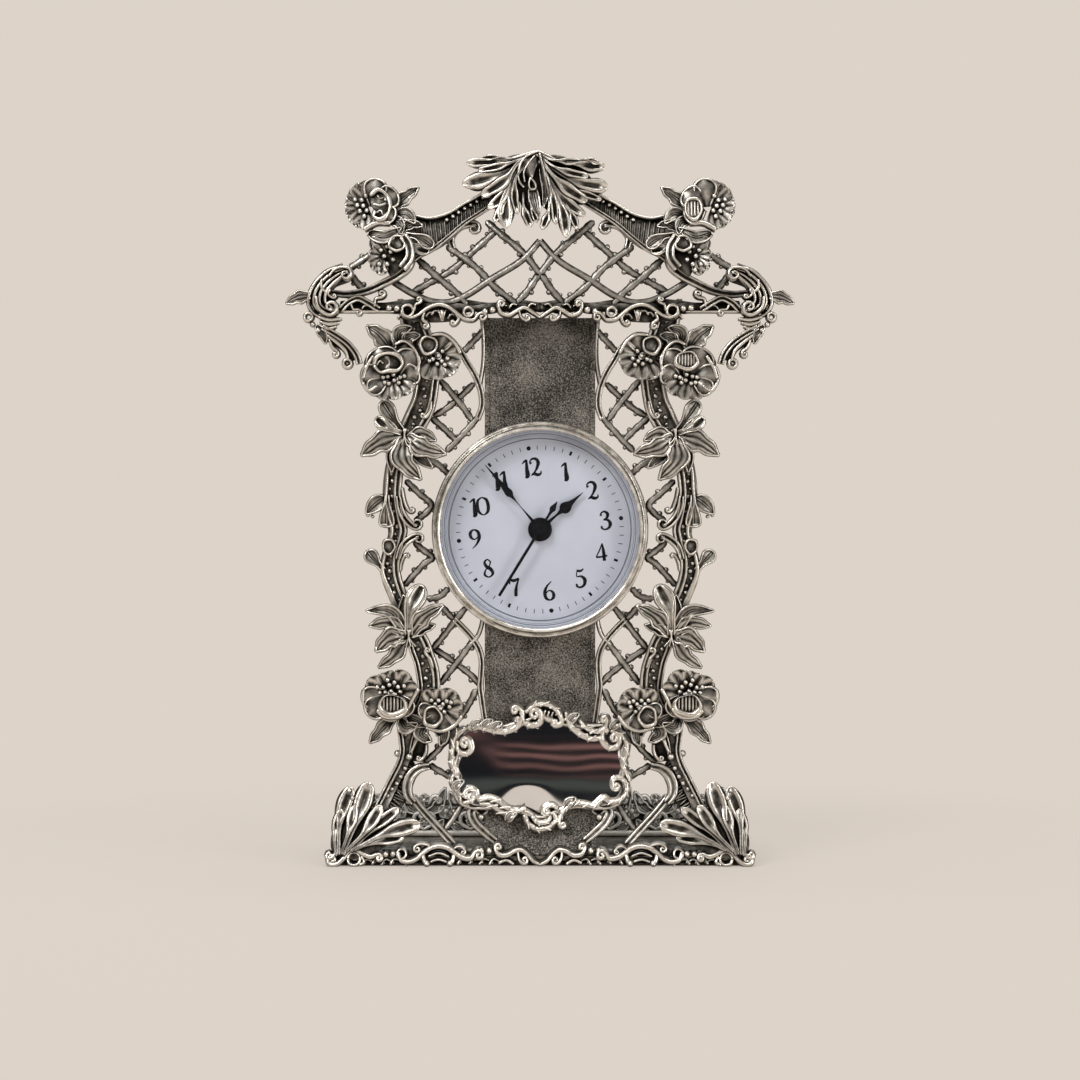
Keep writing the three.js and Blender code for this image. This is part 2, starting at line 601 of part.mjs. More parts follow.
// Each lobe's tip from the root, inward and up, and its half width.
const CORNER_LOBES = [
  [2.6, 16, 2.2], [5.6, 20.8, 2.6], [11.8, 22.4, 3], [16.8, 16.5, 2.8], [21.4, 14.9, 2.6], [26.4, 10.3, 2.6],
];
function cornerAcanthus(side) {
  const root = [side * (BASE_WIDTH / 2 - 2.2), 3.6];
  const lobes = CORNER_LOBES.map(([dx, dz, half]) => {
    const tip = [root[0] - side * dx, root[1] + dz];
    return blade(onWaist, root, tip, half, { outline: SPOON, lift: 2, thick: 1.8 });
  });
  return fuse([boss(onWaist, ...root, 2.6, 3), ...lobes]);
}
for (const [side, sign] of Object.entries(SIDES)) {
  add(casework, `corner_acanthus_${side}`, cornerAcanthus(sign), SILVER);
}

// The pediment: trellis, two beaded arches, the rail, a roll at each end, the crest and its flowers

const PEDIMENT_HALF = PEDIMENT_WIDTH / 2;
const RAIL_DROP = 4; // of the rail's foot below its middle
const ARCH_HALF = 2.7;
const ARCH_TOP = CREST_HEIGHT - 4 - RAIL_HEIGHT; // under the crest, over the rail
const ARCH_DROP = 24.5; // from there to the arch's outer end
const ARCH_END = ARCH_TOP - ARCH_DROP;
const STEM_RISE = 6.4; // of the stem's lower end over the rail
// From the middle of the pediment outward: shares of its half width, and of the height between the ends.
const ARCH_SHARES = [[0.036, 1], [0.1, 0.796], [0.26, 0.482], [0.45, 0.269], [0.56, 0.122], [0.63, 0]];
const STEM_SHARES = [[0.646, 0.973], [0.64, 0.763], [0.69, 0.43], [0.81, 0.183], [1, 0.011], [1.12, 0]];
const ARCH_LINE = ARCH_SHARES.map(([share, up]) => [share, lerp(ARCH_END, ARCH_TOP, up)]);
const STEM_LINE = STEM_SHARES.map(([share, up]) => [share, lerp(STEM_RISE, ARCH_END, up)]);
const pedimentAt = (side, [share, dz]) => [side * share * PEDIMENT_HALF, RAIL_HEIGHT + dz];

// Height of the pediment's upper edge over the rail at a share of its half width.
function edgeOver(share) {
  const line = [...ARCH_LINE, ...STEM_LINE.slice(2)];
  if (share <= line[0][0]) return line[0][1];
  for (let i = 0; i + 1 < line.length; i++) {
    const [a, b] = [line[i], line[i + 1]];
    if (share <= b[0]) return lerp(a[1], b[1], (share - a[0]) / (b[0] - a[0]));
  }
  return line[line.length - 1][1];
}

const LATTICE_PITCH = 17; // across, between bars of one direction
const LATTICE_SLOPE = 0.82;
const LATTICE_STEP = 0.25; // in which a bar is lengthened until it meets the edge
const LATTICE_LEAST = 3; // shorter bars are left out
function pedimentTrellis() {
  const foot = RAIL_BAR_HALF - RAIL_DROP;
  const reach = PEDIMENT_HALF - 3;
  const pieces = [bar(onPediment, [[-reach, RAIL_HEIGHT + foot], [reach, RAIL_HEIGHT + foot]], 1, 1)];
  const most = Math.floor(reach / LATTICE_PITCH);
  for (let i = -most; i <= most; i++) {
    for (const lean of [1, -1]) {
      // Each bar climbs from the foot until it meets the upper edge.
      const start = i * LATTICE_PITCH + (lean * LATTICE_PITCH) / 4;
      if (Math.abs(start) > reach) continue;
      const across = (height) => start + (lean * (height - foot)) / LATTICE_SLOPE;
      let end = foot;
      while (end < edgeOver(Math.abs(across(end)) / PEDIMENT_HALF)) end += LATTICE_STEP;
      if (end < foot + LATTICE_LEAST) continue;
      const to = [across(end), RAIL_HEIGHT + end];
      const spans = Math.ceil((end - foot) / 12);
      pieces.push(bar(onPediment, [[start, RAIL_HEIGHT + foot], to], spans, lean > 0 ? 1 : 0));
    }
  }
  return fuse(pieces);
}

function arch(side) {
  const line = ARCH_LINE.map((p) => pedimentAt(side, p));
  return sweep(onPediment, stationsOn(line, 9, MOULD_BACK, ARCH_HALF, MOULD_DEEP), CHANNEL);
}

// The end of the pediment: a stem that runs out into two rolls, with a leaf tip outside and a drop below.
function endRoll(side) {
  const at = (dx, dz) => [side * (PEDIMENT_HALF + dx), RAIL_HEIGHT + dz];
  const stem = STEM_LINE.map((p) => pedimentAt(side, p));
  const turn = (angle) => (side > 0 ? angle : Math.PI - angle);
  const [highX, highZ] = at(-2, 12.6);
  const [lowX, lowZ] = at(3, 2);
  const body = [
    ...roll(highX, highZ, 2.9, turn(Math.PI * 0.5), side * 0.85, 5).reverse(),
    at(5.4, 12.4), at(9, 6.5), at(8.2, -0.4),
    ...roll(lowX, lowZ, 3.3, turn(-Math.PI * 0.4), -side * 0.85, 5),
  ];
  const drop = [
    at(7.6, -1.4), at(2, -5.2), at(-2.4, -8.6), at(-6, -12.6),
    ...roll(side * (PEDIMENT_HALF - 3.6), RAIL_HEIGHT - 16, 1.9, turn(Math.PI * 0.95), side * 0.7, 4),
  ];
  const tip = [side * TIP_REACH, RAIL_HEIGHT + 3];
  const grow = (s) => 0.9 + 1.3 * s;
  const swell = (s) => 0.7 + 1.6 * Math.sin(Math.PI * s);
  const pieces = [
    sweep(onPediment, stationsOn(stem, 6, MOULD_BACK, grow, MOULD_DEEP), RIB),
    sweep(onPediment, stationsOn(body, 15, MOULD_BACK, swell, MOULD_DEEP + 1.6), RIB),
    sweep(onPediment, stationsOn(drop, 7, MOULD_BACK, (s) => 1.9 - 1.1 * s, MOULD_DEEP), RIB),
    blade(onPediment, at(7.5, 4.6), tip, 2.4, { t: MOULD_BACK + 1, lift: 0.8 }),
  ];
  return fuse(pieces);
}

// A fan of acanthus lobes on each side of a middle leaf, hung from the top of the arches.
// Each lobe's tip from the root, outward and down, and its half width.
const CREST_LOBES = [
  [24.2, 4.6, 3], [25, 11.4, 3.2], [19.4, 15.6, 3], [15.6, 21.6, 2.8], [10.4, 26.6, 2.8], [3.8, 25.6, 2.4],
];
function crest() {
  const root = CREST_HEIGHT - 1.6;
  const pieces = [boss(onPediment, 0, root - 1, 2.6, 3.6)];
  for (const side of Object.values(SIDES)) {
    for (const [dx, dz, half] of CREST_LOBES) {
      const look = { outline: SPOON, lift: 2.4, thick: 1.9, bend: side * 0.1 };
      pieces.push(blade(onPediment, [side, root], [side * dx, root - dz], half, look));
    }
  }
  return fuse(pieces);
}

add(casework, "pediment_trellis", pedimentTrellis(), SILVER);
const PEDIMENT_RAIL_HALF = PEDIMENT_HALF - 9; // it stops short of the rolls
const PEDIMENT_ROLL = 2.3;
const pedimentRail = scrollRail(onPediment, PEDIMENT_RAIL_HALF, RAIL_HEIGHT - RAIL_DROP, PEDIMENT_ROLL, 3);
add(casework, "pediment_rail", pedimentRail, SILVER);
add(casework, "pediment_crest", crest(), SILVER);
for (const [side, sign] of Object.entries(SIDES)) {
  const blooms = [[10.2, RAIL_HEIGHT + ARCH_END + 9.8, 9], [4.3, RAIL_HEIGHT + ARCH_END - 5.6, 7.4]];
  const leaves = [[0, -14.6, 5.6, 2.2], [1, -12, 2, 2.2], [1, -11, 9, 2]];
  const facing = sign > 0 ? 0.2 : Math.PI - 0.2;
  add(casework, `pediment_arch_${side}`, arch(sign), SILVER);
  add(casework, `pediment_roll_${side}`, endRoll(sign), SILVER);
  add(casework, `pediment_flowers_${side}`, flowerPair(onPediment, sign, blooms, leaves, facing), SILVER);
}

// The plaque: a polished plate with a waved outline, in a frame of scrolls

// A quarter of the outline, in shares of its half width and half height: square-shouldered, with a crown at
// the middle of the top and the foot.
const PLAQUE_QUARTER = [[1, 0], [0.96, 0.62], [0.84, 0.95], [0.5, 0.94], [0.24, 1.04], [0, 1.26]];
function plaqueOutline(grow) {
  const [a, b] = [PLAQUE_HALF + grow, PLAQUE_RISE + grow];
  const quarter = (x, z) => PLAQUE_QUARTER.map(([u, v]) => new THREE.Vector3(x * u * a, 0, z * v * b));
  const corners = [
    ...quarter(1, 1).slice(0, -1),
    ...quarter(-1, 1).reverse().slice(0, -1),
    ...quarter(-1, -1).slice(0, -1),
    ...quarter(1, -1).reverse().slice(0, -1),
  ];
  const line = new THREE.CatmullRomCurve3(corners, true, "centripetal");
  return line.getPoints(PLAQUE_STEPS).slice(0, -1).map((p) => [p.x, PLAQUE_HEIGHT + p.z]);
}

// A ring or a plate that stands on the curve of the front, between two depths.
function outlinePlate(outline, from, to) {
  const flat = outline.map(([x, z]) => new THREE.Vector2(x, z));
  const n = outline.length;
  const points = [from, to].flatMap((t) => outline.map(([x, z]) => onWaist(x, z, t)));
  const faces = THREE.ShapeUtils.triangulateShape(flat, []);
  const triangles = faces.flatMap(([a, b, c]) => [[a, c, b], [n + a, n + b, n + c]]);
  for (let i = 0; i < n; i++) {
    const next = (i + 1) % n;
    triangles.push([i, next, n + i], [next, n + next, n + i]);
  }
  return solidFrom(points, triangles);
}

function plaqueFrame() {
  const inner = plaqueOutline(FIT);
  const middle = plaqueOutline(FIT + PLAQUE_FRAME * 0.5);
  const outer = plaqueOutline(FIT + PLAQUE_FRAME);
  const [back, lip, ridge] = [MOULD_BACK, MOULD_BACK + 2.2, MOULD_BACK + MOULD_DEEP - 0.8];
  const tops = [[inner, back], [inner, lip], [middle, ridge], [outer, back]];
  const n = inner.length;
  const points = tops.flatMap(([line, t]) => line.map(([x, z]) => onWaist(x, z, t)));
  const triangles = [];
  for (let k = 0; k < tops.length; k++) {
    const [low, high] = [k * n, ((k + 1) % tops.length) * n];
    for (let i = 0; i < n; i++) {
      const next = (i + 1) % n;
      triangles.push([low + i, low + next, high + i], [low + next, high + next, high + i]);
    }
  }
  const pieces = [solidFrom(points, triangles)];
  // A roll at each corner, at the top and at the foot, standing on the ring's edge.
  const rim = plaqueOutline(FIT + PLAQUE_FRAME * 0.8);
  for (const [place, way] of [[0.11, 1], [0.25, -1], [0.39, -1], [0.61, 1], [0.75, 1], [0.89, -1]]) {
    const [x, z] = rim[Math.round(place * rim.length) % rim.length];
    const start = Math.atan2(z - PLAQUE_HEIGHT, x);
    const line = roll(x, z, 3, start - way * 2.2, way * 1.1, 6);
    const width = (s) => 0.9 - 0.35 * s;
    pieces.push(sweep(onWaist, stationsOn(line, 6, MOULD_BACK + 1, width, MOULD_DEEP - 1), RIDGE));
  }
  return fuse(pieces);
}

add(casework, "plaque_plate", outlinePlate(plaqueOutline(0), MOULD_BACK, MOULD_BACK + PLAQUE_THICK), MIRROR);
add(casework, "plaque_frame", plaqueFrame(), POLISHED);

// The insert: rim, glass, reflector, dial and hands in front of the collar, the movement behind it

insert.position.set(0, COLLAR_FACE, DIAL_HEIGHT);
insert.rotation.y = -DIAL_TURN;

const RIM_BACK = -FIT;
const RIM_FRONT = RIM_BACK - BEZEL_DEEP;
const LENS_FRONT = RIM_FRONT + LENS_SET;
const LENS_BACK = LENS_FRONT + LENS_THICK;
const DIAL_FACE = RIM_BACK + DIAL_SET;
const DIAL_BACK = DIAL_FACE + DIAL_THICK;
const OPENING = BEZEL_RADIUS - BEZEL_WALL; // bore of the rim behind its lip
const LIP = OPENING - BEZEL_LIP;

function bezel() {
  const R = BEZEL_RADIUS;
  return turned(
    [
      [OPENING, RIM_BACK], [R, RIM_BACK], [R, RIM_BACK - 1.6], [R - 0.9, RIM_FRONT + 1.2],
      [R - 1.8, RIM_FRONT], [LIP, RIM_FRONT + 0.3], [LIP, LENS_FRONT - FIT], [OPENING, LENS_FRONT - FIT],
    ],
    ROUND,
  );
}

// The conical ring between the glass and the dial.
function reflector() {
  const out = OPENING - FIT;
  const from = LENS_BACK + FIT;
  const to = DIAL_FACE - FIT;
  const inside = DIAL_RADIUS - REFLECTOR_LAP;
  const step = RIM_BACK - 0.8;
  return turned(
    [
      [out, from], [out, step], [DIAL_RADIUS, RIM_BACK], [DIAL_RADIUS, to],
      [inside, to], [out - REFLECTOR_LAP, from],
    ],
    ROUND,
  );
}

// The cup that carries the dial and holds the movement, open behind, with a pierced front.
const CUP_FACE = DIAL_BACK + FIT;
const CUP_FLOOR = CUP_FACE + CUP_WALL;
const CUP_BACK = CUP_FACE + CUP_DEEP;
const HUB_HOLE = 3.2;
function movementCup() {
  const inside = CUP_RADIUS - CUP_WALL;
  return turned(
    [
      [HUB_HOLE, CUP_FACE], [CUP_RADIUS, CUP_FACE], [CUP_RADIUS, CUP_BACK],
      [inside, CUP_BACK], [inside, CUP_FLOOR], [HUB_HOLE, CUP_FLOOR],
    ],
    ROUND,
  );
}

// The rear cover closes the cup. It has a bay for the cell, and a hole for the setting arbor.
const COVER_FACE = CUP_BACK + FIT;
const BAY_HALF = CELL_LONG / 2 + BAY_SIDE;
const BAY_RISE = CELL_RADIUS + BAY_EDGE;
function rearCover() {
  const disc = rod(CUP_RADIUS, COVER_FACE, COVER_FACE + COVER_THICK, { segments: ROUND });
  const bay = block(BAY_HALF * 2, COVER_THICK + 4, BAY_RISE * 2, 0, COVER_FACE, -CELL_DROP);
  const hole = rod(ARBOR_RADIUS + RUN, COVER_FACE - 2, COVER_FACE + COVER_THICK + 2, MOTION_ARBOR);
  return disc.subtract(bay).subtract(hole);
}

// The cover of the cell's bay slides down off two grooves behind the rear cover.
function cellCover() {
  const from = COVER_FACE + COVER_THICK + FIT;
  const lid = block(BAY_HALF * 2 - 1, COVER_THICK, BAY_RISE * 2 + 1, 0, from + COVER_THICK / 2, -CELL_DROP);
  const grip = -CELL_DROP - 4; // three ribs for the thumb
  const ribs = [-1, 0, 1].map((i) => block(9, 1, 0.8, 0, from + COVER_THICK + 0.3, grip + i * 1.8));
  return fuse([lid, ...ribs]);
}

// Layers of the movement, each one wheel thick, from the front of the cup to the back.
const layer = (i) => [CUP_FLOOR + FIT + i * WHEEL_STEP, CUP_FLOOR + FIT + i * WHEEL_STEP + WHEEL_THICK];
const [HOUR_LAYER, CANNON_LAYER, CENTRE_LAYER, THIRD_LAYER, SECOND_LAYER] = [0, 1, 2, 3, 4].map(layer);

const MINUTE_BORE = SECOND_ARBOR + RUN;
const MINUTE_PIPE = MINUTE_BORE + PIPE_WALL;
const HOUR_BORE = MINUTE_PIPE + RUN;
const HOUR_PIPE = HOUR_BORE + PIPE_WALL;

// Arbors beside the middle: the third wheel up and to the left, the motion wheel to the right.
const THIRD_REACH = (TRAIN_MODULE * (CENTRE_TEETH + THIRD_PINION_TEETH)) / 2;
const MOTION_REACH = (MOTION_MODULE * (CANNON_TEETH + MOTION_TEETH)) / 2;
const THIRD_ANGLE = THREE.MathUtils.degToRad(140);
const MOTION_ANGLE = THREE.MathUtils.degToRad(20);
const THIRD_AT = polar(THIRD_REACH, THIRD_ANGLE);
const MOTION_AT = polar(MOTION_REACH, MOTION_ANGLE);
const THIRD_MODULE = (2 * THIRD_REACH) / (THIRD_TEETH + SECOND_PINION_TEETH);
const HOUR_MODULE = (2 * MOTION_REACH) / (HOUR_TEETH + MOTION_PINION_TEETH);

// A wheel's tooth points at its neighbour, whose gap points back.
const gapAt = (angle, teeth) => angle + Math.PI + Math.PI / teeth;

// Hands lie in front of the dial, the hour hand nearest to it.
const HOUR_PLANE = DIAL_FACE - 1.1;
const MINUTE_PLANE = HOUR_PLANE - HAND_STEP;
const SECOND_PLANE = MINUTE_PLANE - HAND_STEP;

// A spade hand that points up: a thin stem, a round shoulder and a long point.
function spade(long, shoulder, swell, stem) {
  const shape = new THREE.Shape();
  const [low, mid, high] = [shoulder - swell * 0.6, shoulder + swell * 0.6, shoulder + swell * 1.9];
  shape.moveTo(-stem, 0);
  shape.lineTo(-stem * 0.7, shoulder - swell);
  shape.bezierCurveTo(-swell * 1.3, low, -swell * 1.1, mid, -stem * 0.5, high);
  shape.lineTo(0, long);
  shape.lineTo(stem * 0.5, high);
  shape.bezierCurveTo(swell * 1.1, mid, swell * 1.3, low, stem * 0.7, shoulder - swell);
  shape.lineTo(stem, 0);
  return shape;
}

function secondShape() {
  const shape = new THREE.Shape();
  const half = 0.42;
  const tail = -SECOND_TAIL;
  shape.moveTo(-half, 0);
  shape.lineTo(-half * 0.6, SECOND_LONG);
  shape.lineTo(half * 0.6, SECOND_LONG);
  shape.lineTo(half, 0);
  shape.lineTo(half, tail * 0.6);
  shape.lineTo(half * 2.6, tail * 0.72);
  shape.lineTo(0, tail);
  shape.lineTo(-half * 2.6, tail * 0.72);
  shape.lineTo(-half, tail * 0.6);
  return shape;
}

const hourHand = () =>
  plate(spade(HOUR_LONG, 11.6, 2.1, 0.7), HOUR_PLANE - HAND_THICK, HOUR_PLANE)
    .add(rod(BOSS_RADIUS, HOUR_PLANE - HAND_THICK, HOUR_PLANE, { segments: 16 }))
    .subtract(rod(MINUTE_PIPE + RUN, HOUR_PLANE - 3, HOUR_PLANE + 3));
const minuteHand = () =>
  plate(spade(MINUTE_LONG, 16.4, 1.6, 0.55), MINUTE_PLANE - HAND_THICK, MINUTE_PLANE)
    .add(rod(BOSS_RADIUS * 0.8, MINUTE_PLANE - HAND_THICK, MINUTE_PLANE, { segments: 16 }))
    .subtract(rod(MINUTE_BORE, MINUTE_PLANE - 3, MINUTE_PLANE + 3));
const secondHand = () =>
  plate(secondShape(), SECOND_PLANE - HAND_THICK, SECOND_PLANE)
    .add(rod(BOSS_RADIUS * 0.55, SECOND_PLANE - HAND_THICK - 0.4, SECOND_PLANE, { segments: 12 }));

// A pinion runs on into the wheel behind it, which is fixed to it.
const PINION_LAP = 0.2;
const pinionIn = (near, next) => [near[0], next[0] + PINION_LAP];
const MOTION_ARBOR = { x: MOTION_AT[0], z: MOTION_AT[1] };
const THIRD_ARBOR = { x: THIRD_AT[0], z: THIRD_AT[1], segments: 12 };
const ARBOR_END = 1.5; // past the last wheel

// The seconds train: second wheel and its pinion on the arbor that carries the hand.
const secondWheel = () => {
  const gap = gapAt(THIRD_ANGLE + Math.PI, SECOND_PINION_TEETH);
  return fuse([
    rod(SECOND_ARBOR, SECOND_PLANE + FIT, SECOND_LAYER[1] + ARBOR_END),
    toothed(SECOND_PINION_TEETH, THIRD_MODULE, ...pinionIn(THIRD_LAYER, SECOND_LAYER), gap),
    toothed(SECOND_TEETH, SECOND_MODULE, ...SECOND_LAYER, 0),
  ]);
};
const thirdWheel = () => {
  const gap = gapAt(THIRD_ANGLE, THIRD_PINION_TEETH);
  return fuse([
    rod(ARBOR_RADIUS * 0.6, CANNON_LAYER[1] + FIT, THIRD_LAYER[1] + ARBOR_END, THIRD_ARBOR),
    toothed(THIRD_TEETH, THIRD_MODULE, ...THIRD_LAYER, THIRD_ANGLE + Math.PI, ...THIRD_AT),
    toothed(THIRD_PINION_TEETH, TRAIN_MODULE, ...pinionIn(CENTRE_LAYER, THIRD_LAYER), gap, ...THIRD_AT),
  ]);
};
// The centre wheel grips the minute pipe only by friction, so that the hands can be set.
const centreWheel = () =>
  toothed(CENTRE_TEETH, TRAIN_MODULE, ...CENTRE_LAYER, THIRD_ANGLE).subtract(rod(MINUTE_PIPE + RUN, -5, 30));
// The motion work: the minute pipe with its cannon pinion, the motion wheel, and the hour wheel on its pipe.
const cannonPinion = () =>
  fuse([
    rod(MINUTE_PIPE, MINUTE_PLANE + FIT, CENTRE_LAYER[1]),
    toothed(CANNON_TEETH, MOTION_MODULE, ...CANNON_LAYER, MOTION_ANGLE),
  ]).subtract(rod(MINUTE_BORE, -20, 30));
const motionWheel = () => {
  const gap = gapAt(MOTION_ANGLE, MOTION_PINION_TEETH);
  return fuse([
    rod(ARBOR_RADIUS, HOUR_LAYER[0], COVER_FACE + COVER_THICK + KNOB_DEEP, MOTION_ARBOR),
    toothed(MOTION_TEETH, MOTION_MODULE, ...CANNON_LAYER, gapAt(MOTION_ANGLE, MOTION_TEETH), ...MOTION_AT),
    toothed(MOTION_PINION_TEETH, HOUR_MODULE, ...pinionIn(HOUR_LAYER, CANNON_LAYER), gap, ...MOTION_AT),
  ]);
};
const hourWheel = () =>
  fuse([
    rod(HOUR_PIPE, HOUR_PLANE + FIT, HOUR_LAYER[1]),
    toothed(HOUR_TEETH, HOUR_MODULE, ...HOUR_LAYER, MOTION_ANGLE),
  ]).subtract(rod(HOUR_BORE, -20, 30));

// A fluted knob on the end of the setting arbor.
function timeKnob() {
  const from = COVER_FACE + COVER_THICK + FIT;
  const shape = new THREE.Shape();
  const flutes = 12;
  for (let i = 0; i <= flutes * 2; i++) {
    const r = KNOB_RADIUS * (i % 2 ? 0.92 : 1);
    const [px, pz] = polar(r, (i / flutes / 2) * TAU);
    if (i) shape.lineTo(MOTION_AT[0] + px, MOTION_AT[1] + pz);
    else shape.moveTo(MOTION_AT[0] + px, MOTION_AT[1] + pz);
  }
  const socket = rod(ARBOR_RADIUS + FIT, from - 1, COVER_FACE + COVER_THICK + KNOB_DEEP + FIT, MOTION_ARBOR);
  return plate(shape, from, from + KNOB_DEEP + 1).subtract(socket);
}

// The cell lies across the bay between two contact plates that stand on the floor of the cup.
const CELL_Y = COVER_FACE - CELL_RADIUS - 0.4;
function cell() {
  const body = new THREE.CylinderGeometry(CELL_RADIUS, CELL_RADIUS, CELL_LONG - 1, 20).rotateZ(Math.PI / 2);
  const cap = new THREE.CylinderGeometry(2, 2, CELL_LONG, 12).rotateZ(Math.PI / 2);
  return solidOf(body.translate(-0.5, CELL_Y, -CELL_DROP)).add(solidOf(cap.translate(0, CELL_Y, -CELL_DROP)));
}
function contact(sign) {
  const x = sign * (CELL_LONG / 2 + FIT + CONTACT_THICK / 2);
  const deep = COVER_FACE - CUP_FLOOR - 2 * FIT;
  return block(CONTACT_THICK, deep, CONTACT_WIDE, x, (COVER_FACE + CUP_FLOOR) / 2, -CELL_DROP);
}

// The circuit board stands on the floor of the cup beside the wheels, and the motor's coil lies on it.
// Its upper corners are just inside the wall of the cup.
const BOARD_FACE = CUP_FLOOR + FIT;
const BOARD_ROOM = Math.sqrt((CUP_RADIUS - CUP_WALL) ** 2 - (BOARD_WIDE / 2) ** 2);
const BOARD_RISE = BOARD_ROOM - BOARD_HIGH / 2 - BOARD_EDGE;
function circuitBoard() {
  return block(BOARD_WIDE, BOARD_THICK, BOARD_HIGH, 0, BOARD_FACE + BOARD_THICK / 2, BOARD_RISE);
}

function motorCoil() {
  const y = BOARD_FACE + BOARD_THICK + FIT + COIL_RADIUS;
  const core = block(CORE_LONG, CORE_THICK, CORE_HIGH, 0, y, BOARD_RISE);
  const winding = new THREE.CylinderGeometry(COIL_RADIUS, COIL_RADIUS, COIL_LONG, 12).rotateZ(Math.PI / 2);
  return core.add(solidOf(winding.translate(0, y, BOARD_RISE)));
}

function gripRing() {
  const [inside, outside] = [CUP_RADIUS + FIT, COLLAR_BORE - FIT];
  const [from, to] = [CUP_FACE + FIT, CUP_FACE + FIT + RING_DEEP];
  return turned([[inside, from], [outside, from], [outside, to], [inside, to]], ROUND);
}

add(insert, "bezel", bezel(), POLISHED);
add(insert, "lens", rod(OPENING - FIT, LENS_FRONT, LENS_BACK, { segments: ROUND }), GLASS);
add(insert, "reflector_ring", reflector(), POLISHED);
add(insert, "dial", rod(DIAL_RADIUS, DIAL_FACE, DIAL_BACK, { segments: ROUND, bore: HUB_HOLE }), ENAMEL);
add(insert, "movement_cup", movementCup(), PLASTIC);
add(insert, "rear_cover", rearCover(), PLASTIC);
add(insert, "grip_ring", gripRing(), RUBBER);
add(insert, "circuit_board", circuitBoard(), BOARD);
add(insert, "motor_coil", motorCoil(), COPPER);
add(insert, "cell", cell(), CELL);
add(insert, "contact_negative", contact(-1), STEEL);
add(insert, "contact_positive", contact(1), STEEL);
add(insert, "cell_cover", cellCover(), PLASTIC);
add(insert, "time_knob", timeKnob(), PLASTIC);
add(insert, "second_wheel", secondWheel(), STEEL);
add(insert, "third_wheel", thirdWheel(), WHITE_PLASTIC);
add(insert, "centre_wheel", centreWheel(), BRASS);
add(insert, "cannon_pinion", cannonPinion(), BRASS);
add(insert, "motion_wheel", motionWheel(), WHITE_PLASTIC);
add(insert, "hour_wheel", hourWheel(), WHITE_PLASTIC);

const clockwise = (turns) => (turns % 1) * TAU;
add(insert, "hour_hand", hourHand(), BLACK).rotation.y = clockwise(SHOWN_HOURS / 12);
add(insert, "minute_hand", minuteHand(), BLACK).rotation.y = clockwise(SHOWN_MINUTES / 60);
add(insert, "second_hand", secondHand(), BLACK).rotation.y = clockwise(SHOWN_SECONDS / 60);

export default clock;
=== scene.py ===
import math

import bmesh
import bpy
import numpy as np
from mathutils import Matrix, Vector


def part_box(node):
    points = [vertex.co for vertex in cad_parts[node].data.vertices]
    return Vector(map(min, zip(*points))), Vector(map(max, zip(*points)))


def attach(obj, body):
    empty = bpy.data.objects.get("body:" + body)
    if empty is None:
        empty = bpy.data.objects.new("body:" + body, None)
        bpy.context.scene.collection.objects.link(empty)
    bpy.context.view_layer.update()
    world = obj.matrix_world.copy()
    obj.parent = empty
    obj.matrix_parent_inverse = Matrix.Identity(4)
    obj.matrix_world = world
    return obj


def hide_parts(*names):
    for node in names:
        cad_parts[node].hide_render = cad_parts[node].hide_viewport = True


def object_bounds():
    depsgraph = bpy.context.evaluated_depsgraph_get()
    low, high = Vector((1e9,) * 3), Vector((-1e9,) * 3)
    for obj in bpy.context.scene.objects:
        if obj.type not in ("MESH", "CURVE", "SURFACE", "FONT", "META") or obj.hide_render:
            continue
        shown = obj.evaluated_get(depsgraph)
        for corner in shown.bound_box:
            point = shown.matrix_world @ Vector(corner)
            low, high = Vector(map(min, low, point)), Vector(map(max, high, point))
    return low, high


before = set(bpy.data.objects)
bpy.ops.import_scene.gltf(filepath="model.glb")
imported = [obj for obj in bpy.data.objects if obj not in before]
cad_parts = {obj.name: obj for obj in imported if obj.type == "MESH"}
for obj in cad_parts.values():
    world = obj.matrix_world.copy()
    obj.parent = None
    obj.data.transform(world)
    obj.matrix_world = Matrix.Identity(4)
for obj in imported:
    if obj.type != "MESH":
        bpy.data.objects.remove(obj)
cad_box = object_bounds()


# The base floor is a flat casting that the walls of the base stand round.
# It is silvered, gone dull in clouds, and still mirrors the walls a little.
class Shade:
    """One socket of a material's nodes. Operators on it add Math nodes."""

    def __init__(self, tree, socket=None):
        self.tree = tree
        self.socket = socket

    def node(self, kind, settings=None, sockets=None, out=0):
        """A new node: its settings first, then the values or links of its sockets. Gives one output."""
        made = self.tree.nodes.new("ShaderNode" + kind)
        for name, value in (settings or {}).items():
            setattr(made, name, value)
        for name, value in (sockets or {}).items():
            if isinstance(value, Shade):
                self.tree.links.new(value.socket, made.inputs[name])
            else:
                made.inputs[name].default_value = value
        return Shade(self.tree, made.outputs[out])

    def maths(self, operation, a, b):
        return self.node("Math", {"operation": operation}, {0: a, 1: b})

    def __add__(self, other):
        return self.maths("ADD", self, other)

    def __sub__(self, other):
        return self.maths("SUBTRACT", self, other)

    def __rsub__(self, other):
        return self.maths("SUBTRACT", other, self)

    def __mul__(self, other):
        return self.maths("MULTIPLY", self, other)

    __radd__ = __add__
    __rmul__ = __mul__

    def rise(self, low, high):
        """0 below low, 1 above high, and smooth between them."""
        look = {"interpolation_type": "SMOOTHSTEP"}
        return self.node("MapRange", look, {"Value": self, "From Min": low, "From Max": high})

    def mix(self, a, b):
        """Colour a where this is 0 and b where it is 1."""
        return self.node("Mix", {"data_type": "RGBA"}, {0: self, 6: a, 7: b}, 2)

    def place(self):
        return self.node("TexCoord", out="Object")

    def noise(self, scale, detail=3.0):
        look = {"Vector": self.place(), "Scale": scale, "Detail": detail}
        return self.node("TexNoise", sockets=look, out="Fac")

    def bump(self, height, strength, distance):
        look = {"Height": height, "Strength": strength, "Distance": distance}
        return self.node("Bump", sockets=look, out="Normal")


